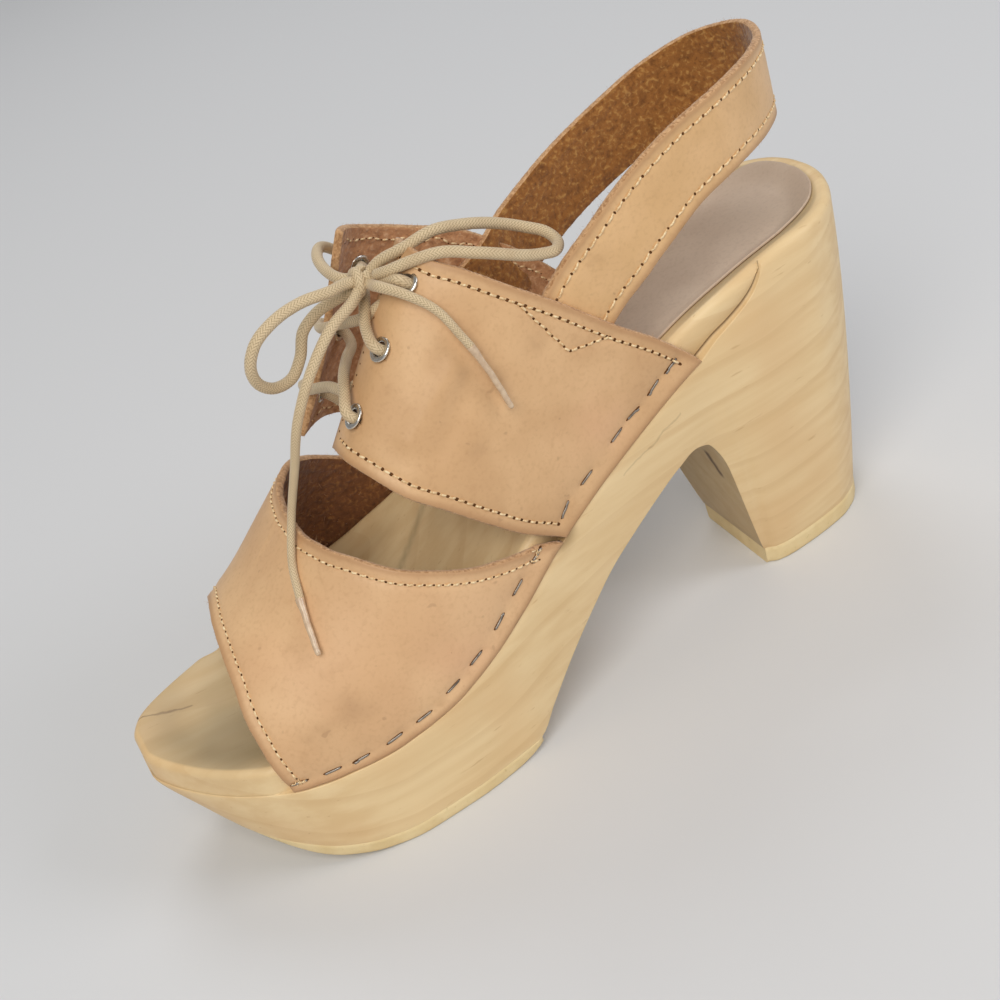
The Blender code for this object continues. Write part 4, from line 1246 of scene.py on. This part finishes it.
def rowInside(grid, edge, inset, start=0.0, end=0.0):  # line on a panel at a distance from one of its edges
    lines = grid if edge in ("first", "last") else grid.transpose(1, 0, 2)
    lines = lines if edge in ("first", "foot") else lines[:, ::-1]
    gap = nearest(lines[:, : lines.shape[1] // 2], dense(borders(grid)[edge]))
    points = []
    for line, far in zip(lines, gap):
        k = max(1, int(np.argmax(far > inset)))
        t = (inset - far[k - 1]) / (far[k] - far[k - 1])
        points.append(line[k - 1] + (line[k] - line[k - 1]) * t)
    path = np.array(points)
    return spaced(path, np.arange(start, lengths(path)[-1] - end, 0.4))


def swollen(grid, kind):
    height, size = hide["swell"][kind]
    return height * waves(grid, size)


def groove(grid, path, width, depth):
    return -depth * np.exp(-((nearest(grid, path) / width) ** 2))


def onPanel(half, places):  # points of the grain side from given (x, share) pairs
    x, share = np.array(places, float).T
    run = roundedRoute(np.stack([x, share * 100, x * 0], 1), 1.0)
    return onForm(run[:, 0], run[:, 1] / 100, half)


def addPanel(name, grain, under, normal, finishes, relief, wearMaps, holes=()):
    rows, cols = grain.shape[:2]
    edge = np.array([i * cols + j for i, j in border(rows, cols)])
    top = grain + normal * relief[..., None]
    nap = hide["nap"] * waves(under, hide["napSize"]) + 0.5 * hide["nap"] * waves(under, 0.9, 7.0)
    bottom = under + normal * (np.minimum(relief, 0.2) + nap)[..., None]
    cells = gridFaces(rows, cols)
    kept, walls = np.ones(len(cells), bool), []
    for centre, out in holes:
        top, bottom, gone, wall = punched(top, bottom, cells, centre, out)
        kept &= ~gone
        walls += wall
    flatTop, flatBottom = top.reshape(-1, 3), bottom.reshape(-1, 3)
    inner = [(min(max(i, 2), rows - 3), min(max(j, 2), cols - 3)) for i, j in border(rows, cols)]
    tangent = unit(flatTop[edge] - np.array([grain[place] for place in inner]))
    count, size = len(edge), rows * cols
    rings = []
    for k, (share, bulge) in enumerate(hide["rings"]):
        rough = hide["fibre"] * waves(flatTop[edge], 0.8, 3.0 + k)
        at = flatBottom[edge] + (flatTop[edge] - flatBottom[edge]) * share
        rings.append(at + tangent * (bulge + rough)[:, None])
    loops = [edge] + [2 * size + k * count + np.arange(count) for k in range(len(rings))] + [size + edge]
    faces, slots = [cells[kept], cells[kept] + size], [np.zeros(kept.sum()), np.ones(kept.sum())]
    for above, below in zip(loops, loops[1:]):
        faces.append(np.stack([above, np.roll(above, -1), np.roll(below, -1), below], 1))
        slots.append(np.full(count, 2))
    if walls:
        faces.append(np.array([(a, b, b + size, a + size) for a, b in walls]))
        slots.append(np.full(len(walls), 2))
    faces, slots = np.concatenate(faces).astype(int), np.concatenate(slots)
    points = np.concatenate([flatTop, flatBottom, *rings])
    used, order = np.unique(faces, return_inverse=True)
    piece = addPiece(name, points[used], order.reshape(faces.shape), finishes, slots, turnOut=True)
    flat = grain.reshape(-1, 3)
    rim = np.exp(-((nearest(flat, flat[edge]) / hide["rimWidth"]) ** 2))
    for key in ("stainAndShade", "blush", "rim"):
        values = np.zeros(len(points))
        values[:size] = rim if key == "rim" else np.clip(wearMaps.get(key, np.zeros(size)), 0, 1).ravel()
        setAttribute(piece, key, values[used])
    riding(piece, "leather")
    surface, back = (BVHTree.FromPolygons(side.tolist(), cells.tolist()) for side in (flatTop, flatBottom))
    return piece, surface, back


def punched(top, bottom, cells, centre, out):  # opens a round hole through both faces of a panel
    radius = eyelets["barrel"] + 0.05
    apart = top.reshape(-1, 3) - centre
    flat = apart - (apart @ out)[:, None] * out
    near = np.linalg.norm(flat, axis=1) + 1000 * (np.abs(apart @ out) > 8)
    gone = near[cells].mean(1) < radius
    edges = {}
    for cell in cells[gone]:
        for a, b in zip(cell, np.roll(cell, -1)):
            edges.pop((b, a)) if (b, a) in edges else edges.setdefault((a, b))
    shape, rim = top.shape, np.unique(np.array(list(edges)))
    top, bottom = top.reshape(-1, 3).copy(), bottom.reshape(-1, 3).copy()
    for k in rim:
        for grid in (top, bottom):
            offset = grid[k] - centre
            height = offset @ out
            grid[k] = centre + out * height + unit(offset - out * height) * radius
    return top.reshape(shape), bottom.reshape(shape), gone, list(edges)


# Sewing and staples. A row has its stitch length, the size of its needle holes and what it leaves bare at the
# ends of a panel's first and last edge.
sewing = {
    "thread": 0.33,
    "lift": 0.24,
    "slant": 0.1,
    "inset": 3.3,
    "frontInset": 2.3,
    "groove": (1.1, 0.28),  # width and depth of the hide drawn in by a row
    "seamGroove": (1.1, 0.25),
    "vamp": {"pitch": 2.5, "hole": (0.36, 0.28), "ends": ((4, 4), (5, 5))},
    "quarter": {"pitch": 2.6, "hole": (0.6, 0.44), "ends": ((5, 3), (5, 3))},
    "sling": {"pitch": 3.7, "hole": (0.32, 0.46), "ends": ((10, 10), (10, 10))},
    "seam": {"pitch": 2.4, "hole": (0.46, 0.36)},
    "unsewn": {"pitch": 3.1, "hole": (0.3, 0.28)},
    "inside": {"pitch": 2.7, "hole": (0.26, 0.2), "sunk": 0.26},
}
staple = {
    "length": 4.9,
    "width": 0.66,
    "height": 0.42,
    "sunk": 0.8,
    "proud": 0.2,
    "crown": 0.43,  # share of the length from the middle to where it bends down, and that of the bend
    "bend": 0.07,
    "slot": (2.7, 0.46),
    "dip": (0.5, 1.1),  # depth and width of the dent under it
    "pull": (0.45, 4.5),  # and of the hide drawn down round it
}


def edgeRows(grid, kind):
    ends = zip(("first", "last"), sewing[kind]["ends"])
    return [rowInside(grid, edge, sewing["inset"], *bare) for edge, bare in ends]


def snapped(surface, points, away):  # nearest places on a panel and the way out of it there
    found = [surface.find_nearest(Vector(p)) for p in points]
    place, normal = np.array([f[0] for f in found]), np.array([f[1] for f in found])
    return place, normal * np.sign((normal * away(place)).sum(1, keepdims=True))


def addMany(name, parts, finish):  # many small solids as one piece
    points, faces, first = [], [], 0
    for p, f in parts:
        points.append(p)
        faces += [[k + first for k in face] for face in f]
        first += len(p)
    riding(addPiece(name, np.concatenate(points), faces, [finish], turnOut=True), "leather")


def ovalTube(path, across, up, width, height, sides=8):
    turn = np.linspace(0, 2 * math.pi, sides, endpoint=False)
    width, height = (np.broadcast_to(v, len(path))[:, None, None] for v in (width, height))
    ring = np.cos(turn)[None, :, None] * across[:, None] * width
    ring = ring + np.sin(turn)[None, :, None] * up[:, None] * height
    points = (path[:, None] + ring).reshape(-1, 3)
    last = (len(path) - 1) * sides
    caps = [list(range(sides))[::-1], list(range(last, last + sides))]
    return points, gridFaces(len(path), sides, closed=True).tolist() + caps


def oval(centre, along, up, halfLength, halfWidth, sides=12):  # shallow dark hole lying on the hide
    across = unit(np.cross(up, along))
    along = np.cross(across, up)
    turn = np.linspace(0, 2 * math.pi, sides, endpoint=False)
    ring = np.cos(turn)[:, None] * along * halfLength + np.sin(turn)[:, None] * across * halfWidth
    layers = ((1.0, 0.03), (0.9, 0.07), (1.0, -0.3))  # size and height
    points = np.concatenate([centre + ring * size + up * height for size, height in layers])
    faces = [[k, (k + 1) % sides, sides + (k + 1) % sides, sides + k] for k in range(sides)]
    faces += [[k, 2 * sides + k, 2 * sides + (k + 1) % sides, (k + 1) % sides] for k in range(sides)]
    return points, faces + [list(range(sides, 2 * sides)), list(range(2 * sides, 3 * sides))[::-1]]


def needleHoles(surface, path, away, kind):
    row = sewing[kind]
    marks = np.arange(0, lengths(path)[-1], row["pitch"])
    place, normal = snapped(surface, spaced(path, marks), away)
    ahead = unit(spaced(path, marks + 0.3) - spaced(path, marks - 0.3))
    size = np.array(row["hole"]) * chance.uniform(0.85, 1.15, (len(marks), 2))
    return [oval(*parts, *wide) for *parts, wide in zip(place, ahead, normal, size)]


def stitches(surface, path, away, kind):
    pitch, s = sewing[kind]["pitch"], sewing
    made, t = [], np.linspace(0, 1, 9)
    for start in np.arange(0, lengths(path)[-1] - pitch, pitch):
        (a, b), normal = snapped(surface, spaced(path, [start + 0.25, start + pitch - 0.25]), away)
        up = unit(normal.sum(0))
        across = unit(np.cross(up, b - a))
        arch = np.sin(math.pi * t) ** 0.6 * (s["lift"] + s["thread"]) - s["thread"] - s[kind].get("sunk", 0.0)
        lean = across * (s["slant"] * pitch / 2 + chance.normal(0, 0.04)) * (2 * t - 1)[:, None]
        line = a + (b - a) * t[:, None] + lean + up * arch[:, None]
        plump = s["thread"] * (0.75 + 0.25 * np.sin(math.pi * t) ** 0.5)
        made.append(ovalTube(line, np.tile(across, (9, 1)), np.tile(up, (9, 1)), plump, plump, 7))
    return made


def addSewing(name, rows, unsewn=()):
    threads = [part for row in rows for part in stitches(*row)]
    holes = [part for row in (*rows, *unsewn) for part in needleHoles(*row)]
    addMany(f"{name}.stitches", threads, thread)
    addMany(f"{name}.holes", holes, pierced)


def addStaples(name, surface, places, away):
    wires, slots, t = [], [], np.linspace(-0.5, 0.5, 15)
    for centre, along in places:
        place, normal = snapped(surface, centre + along * (t * staple["length"])[:, None], away)
        up = unit(normal.mean(0))
        bent = np.clip((np.abs(t) - staple["crown"]) / staple["bend"], 0, 1) ** 1.5
        height = staple["proud"] - (staple["sunk"] + staple["proud"]) * bent
        chord = place[0] + (place[-1] - place[0]) * (t + 0.5)[:, None]
        path = 0.5 * (place + chord) + up * height[:, None]
        across = unit(np.cross(up, np.gradient(path, axis=0)))
        ups = np.tile(up, (len(t), 1))
        wires.append(ovalTube(path, across, ups, staple["width"] / 2, staple["height"] / 2))
        slots.append(oval(path[7] - up * 0.14, along, up, *staple["slot"], sides=20))
    addMany(name, wires, steel)
    addMany(f"{name}.slots", slots, pierced)


def staplePlaces(half, spots):  # (x, share, turn in degrees)
    places = []
    for x, share, *turn in spots:
        angle = math.radians(turn[0]) if turn else chance.normal(0, 0.07)
        along = unit(onForm(x + 2, share, half) - onForm(x - 2, share, half))
        up = unit(onForm(x, share + 0.03, half) - onForm(x, share, half))
        out = np.array((0.0, -1.0 if half == "outer" else 1.0, 0.0))
        centre = onForm(x, share, half) + out * sandal["leather"]
        places.append((centre, along * math.cos(angle) + up * math.sin(angle)))
    return places


# Loose fibres along the raw edges and out of the flesh side
fibre = {
    "thick": 0.032,
    "length": (0.35, 1.1),
    "stray": 0.55,
    "curl": 0.6,
    "rings": 4,
    "edge": 160,  # how many along an edge, along one of the sling's, and on the flesh side
    "slingEdge": 420,
    "nap": 700,
}


def addFibres(name, roots, ways, finish, longest=1.0, thickest=1.0):
    made, t = [], np.linspace(0, 1, fibre["rings"])[:, None]
    for root, way in zip(roots, ways):
        reach = chance.uniform(*fibre["length"]) * longest
        bend = unit(way + chance.normal(0, fibre["stray"], 3))
        curl = chance.normal(0, fibre["curl"], 3)
        line = root + bend * reach * t + curl * reach * 0.5 * t**2
        across = unit(np.cross(bend, (0.2, 0.3, 0.9)))
        thick = fibre["thick"] * thickest * (1 - 0.6 * t[:, 0])
        up = np.tile(np.cross(bend, across), (len(t), 1))
        made.append(ovalTube(line, np.tile(across, (len(t), 1)), up, thick, thick, 3))
    addMany(name, made, finish)


def edgeRoots(grain, under, edge, count):  # random places along one raw edge and the way out of it
    lines = [borders(grid)[edge] for grid in (grain, under)]
    step = {"first": (0, 1), "last": (0, -2), "foot": (1, 0), "front": (-2, 0)}[edge]
    inside = under[:, step[1]] if edge in ("first", "last") else under[step[0]]
    k = chance.integers(1, len(inside) - 1, count)
    depth = chance.beta(2, 1.2, count)[:, None]
    out = unit(lines[1][k] - inside[k])
    return lines[0][k] + (lines[1][k] - lines[0][k]) * depth + out * 0.3, out


def addEdgeFibres(name, grain, under, edges, count):
    roots, ways = zip(*(edgeRoots(grain, under, edge, count) for edge in edges))
    addFibres(f"{name}.fibres", np.concatenate(roots), np.concatenate(ways), rawEdge)


def fleshRoots(under, normal, count):  # random places on the flesh side, lying over
    i, j = (chance.integers(0, size, count) for size in under.shape[:2])
    lying = unit(chance.normal(0, 1, (count, 3)))
    return under[i, j], unit(lying - normal[i, j] * 0.5)


# Thread ends left where a row of stitches stops: short frayed curls that lie on the hide
tangle = {"count": 9, "thick": 0.17, "length": (0.8, 1.8), "spread": 0.45, "curl": 0.6, "lift": (0.1, 0.5)}


def addTangles(name, surface, centres, away):
    made, t = [], np.linspace(0, 1, 8)[:, None]
    for centre in centres:
        for _ in range(tangle["count"]):
            start = centre + chance.normal(0, tangle["spread"], 3)
            way, curl = chance.normal(0, 1, (2, 3))
            reach = chance.uniform(*tangle["length"])
            line = start + (unit(way) * t + unit(curl) * tangle["curl"] * t**2) * reach
            place, normal = snapped(surface, line, away)
            least, more = tangle["lift"]
            line = place + normal * (least + more * chance.uniform() * np.sin(math.pi * t))
            across = unit(np.cross(normal, np.gradient(line, axis=0)))
            made.append(ovalTube(line, across, normal, tangle["thick"], tangle["thick"], 5))
    addMany(name, made, thread)


# Vamp: where the staples, creases and stains are, as (x, share of the way up), from the photo
vampLook = {
    "staples": [
        (-82.5, 0.043),
        (-74.5, 0.040),
        (-64.5, 0.046),
        (-55.0, 0.044),
        (-44.5, 0.050),
        (-35.5, 0.052),
        (-25.5, 0.058),
        (-17.0, 0.062),
        (-91.2, 0.046, 4.0),
        (-8.4, 0.058, 2.0),
    ],
    "tangles": [(-90.4, 0.042), (-8.6, 0.07)],
    "stainAndShade": [
        (-71.5, 0.231, 9.0, 0.5),
        (-82.0, 0.219, 5.0, 0.45),
        (-64.5, 0.106, 1.6, 0.7),
        (-62.5, 0.275, 1.3, 0.6),
    ],
    "blush": [(-40.0, 0.12, 22.0, 0.5), (-78.0, 0.55, 18.0, 0.35)],
    "creases": [
        ([(-86.0, 0.10), (-70.0, 0.14), (-52.0, 0.15)], 6.0, 0.35),
        ([(-48.0, 0.2), (-34.0, 0.14)], 5.0, 0.3),
    ],
}


def spotted(grid, spots, half):
    total = np.zeros(grid.shape[:2])
    for x, share, radius, strength in spots:
        near = np.linalg.norm(grid - onForm(x, share, half), axis=-1) / radius
        total += strength * np.exp(-(near**2)) * (0.75 + 0.5 * waves(grid, radius * 0.6, x))
    return total


def pulled(grid, places):  # dips where staples hold the hide down, and swells between them
    total = np.zeros(grid.shape[:2])
    for centre, along in places:
        line = centre + along * np.linspace(-0.5, 0.5, 19)[:, None] * staple["length"]
        gap = nearest(grid, line)
        total -= sum(deep * np.exp(-((gap / wide) ** 2)) for deep, wide in (staple["dip"], staple["pull"]))
    return total


def addVamp():
    under = vampGrid()
    normal = outward(under, footAway(under))
    grain = under + normal * sandal["leather"]
    rows = edgeRows(grain, "vamp")
    places = staplePlaces("outer", vampLook["staples"]) + staplePlaces("inner", vampLook["staples"])
    relief = swollen(grain, "vamp") + pulled(grain, places)
    for row in rows:
        relief += groove(grain, row, *sewing["groove"])
    for spots, width, depth in vampLook["creases"]:
        relief += groove(grain, onPanel("outer", spots), width, depth)
    wearMaps = {key: spotted(grain, vampLook[key], "outer") for key in ("stainAndShade", "blush")}
    finishes = [vampGrain, flesh, rawEdge]
    piece, surface, _ = addPanel("vamp", grain, under, normal, finishes, relief, wearMaps)
    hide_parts("vamp")
    addSewing("vamp", [(surface, row, footAway, "vamp") for row in rows])
    addStaples("vamp.staples", surface, places, footAway)
    spots = [onForm(*place, half) for half in ("outer", "inner") for place in vampLook["tangles"]]
    addTangles("vamp.tangles", surface, spots, footAway)
    addEdgeFibres("vamp", grain, under, ("first", "last"), fibre["edge"])
    addFibres("vamp.nap", *fleshRoots(under, normal, fibre["nap"]), quarterFlesh, 1.5, 2.6)


# Quarters
quarterLook = {
    "outer": {
        "staples": [(46.5, 0.05), (40.0, 0.05), (32.0, 0.05), (25.5, 0.05), (13.0, 0.05), (3.8, 0.052, 20)],
        # the first stain, under the short lace end, is a smudge and also painted shadow of the lace end
        "stainAndShade": [(-3.0, 0.488, 5.0, 0.5), (11.5, 0.419, 4.0, 0.45), (-13.0, 0.425, 4.0, 0.35)],
        "blush": [(20.0, 0.12, 14.0, 0.5)],
        "ridges": [([(-10.5, 0.60), (-18.5, 0.62), (-26.5, 0.63)], 3.0, -0.8)],
        "troughs": [([(-7.5, 0.544), (-15.0, 0.531), (-22.0, 0.531)], 3.0, 0.7)],
        "seams": [[(11.5, 0.506), (19.5, 0.319), (33.0, 0.236)]],
    },
    "inner": {
        "staples": [(45.5, 0.045), (37.5, 0.046), (29.0, 0.046), (20.5, 0.048), (12.0, 0.05), (3.0, 0.05)],
        "stainAndShade": [(0.0, 0.4, 5.0, 0.3)],
        "blush": [(20.0, 0.12, 14.0, 0.4)],
        "ridges": [],
        "troughs": [([(-7.0, 0.45), (-15.0, 0.44), (-22.0, 0.43)], 3.2, 0.3)],
        "seams": [[(10.0, 0.5), (18.5, 0.34), (31.0, 0.245)]],
    },
}


def polyline(half, corners, step=0.4):  # straight runs between given corners
    x, share = np.array(corners, float).T
    t = np.linspace(0, len(x) - 1, 200)
    path = onForm(np.interp(t, np.arange(len(x)), x), np.interp(t, np.arange(len(x)), share), half)
    return spaced(path, np.arange(0, lengths(path)[-1], step))


def addQuarter(half):
    look = quarterLook[half]
    under = quarterGrid(half)
    normal = outward(under, footAway(under))
    gap = np.maximum(frontCurl["reach"] - nearest(under, dense(borders(under)["front"])), 0)
    ramp = frontCurl["ramp"]
    sunk = np.where(gap < ramp, gap**2 / (2 * ramp), gap - ramp / 2)
    under = under - normal * (frontCurl[half] * sunk)[..., None]
    normal = outward(under, footAway(under))
    grain = under + normal * sandal["leather"]
    rows = edgeRows(grain, "quarter")
    rows += [polyline(half, corners) for corners in look["seams"]]
    places = staplePlaces(half, look["staples"])
    relief = swollen(grain, "quarter") + pulled(grain, places)
    for row in rows[:2]:
        relief += groove(grain, row, *sewing["groove"])
    for row in rows[2:]:
        relief += groove(under, row, *sewing["seamGroove"])
    for spots, width, depth in look["ridges"] + look["troughs"]:
        relief += groove(under, onPanel(half, spots), width, depth)
    wearMaps = {key: spotted(under, look[key], half) for key in ("stainAndShade", "blush")}
    holes = [eyeletPlace(half, number) for number in (1, 2, 3)]
    deep, wide = eyelets["dimple"]
    for centre, _ in holes:
        relief -= deep * np.exp(-((np.linalg.norm(grain - centre, axis=-1) / wide) ** 4))
    name, finishes = f"quarter.{half}", [bandGrain, quarterFlesh, rawEdge]
    piece, surface, back = addPanel(name, grain, under, normal, finishes, relief, wearMaps, holes)
    sewn = [(surface, row, footAway, "quarter") for row in rows[:2]]
    sewn += [(surface, row, footAway, "seam") for row in rows[2:]]
    sewn += [(back, row, footToward, "inside") for row in rows[:2]]
    front = rowInside(grain, "front", sewing["frontInset"], 5, 5)
    addSewing(name, sewn, [(surface, front, footAway, "unsewn")])
    addStaples(f"{name}.staples", surface, places, footAway)
    addEdgeFibres(name, grain, under, ("first", "last", "front"), fibre["edge"])
    return piece


def slingAway(points):
    return points - np.array(slingSize["inside"])


def addSling():
    grain, under = slingGrids()
    normal = unit(grain - under)
    rows = edgeRows(grain, "sling")
    relief = swollen(grain, "sling")
    for row in rows:
        relief += groove(grain, row, *sewing["seamGroove"])
    finishes = [slingGrain, shadedSlingFlesh, rawEdge]
    _, surface, _ = addPanel("sling", grain, under, normal, finishes, relief, {})
    addSewing("sling", [(surface, row, slingAway, "sling") for row in rows])
    addEdgeFibres("sling", grain, under, ("first", "last"), fibre["slingEdge"])


addVamp()
outerQuarter = addQuarter("outer")
addQuarter("inner")
addSling()
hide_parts("instep_band")
print("upper made")


# Floor and soft studio light: a large soft key from the toe's side, a weak fill and a pale room
studio = {"floor": "#d4d5d7", "floorSize": 8000.0, "room": "#eef0f2", "roomStrength": 0.32}


def addFloor():
    paper = {"Roughness": 0.9, "Base Color": linear(studio["floor"])}
    finish = newFinish("matt paper floor", paper)[0]
    half = studio["floorSize"] / 2
    corners = [(-half, -half, 0), (half, -half, 0), (half, half, 0), (-half, half, 0)]
    floor = addPiece("floor", np.array(corners) - (0, 0, 0.02), [[0, 1, 2, 3]], [finish])


def addLight(name, place, target, size, power, colour):
    data = bpy.data.lights.new(name, "AREA")
    data.shape, data.size, data.energy = "DISK", size * mm, power
    data.color = linear(colour)[:3]
    lamp = bpy.data.objects.new(name, data)
    way = (Vector(target) - Vector(place)).normalized()
    lamp.rotation_euler = way.to_track_quat("-Z", "Y").to_euler()
    lamp.location = Vector(place) * mm
    bpy.context.scene.collection.objects.link(lamp)


def addRoom():
    world = bpy.data.worlds.new("room")
    world.use_nodes = True
    sky = world.node_tree.nodes["Background"]
    sky.inputs["Color"].default_value = linear(studio["room"])
    sky.inputs["Strength"].default_value = studio["roomStrength"]
    bpy.context.scene.world = world
    bpy.context.scene.view_settings.view_transform = "Standard"


addFloor()
addLight("key", (-800, -1300, 1600), (0, 0, 70), 1700, 33.0, "#fffaf2")
addLight("fill", (1300, -900, 1000), (0, 0, 70), 900, 9.0, "#f6f8ff")
addLight("back", (300, 1100, 1500), (0, 0, 90), 900, 7.0, "#ffffff")
addRoom()
print("light set")
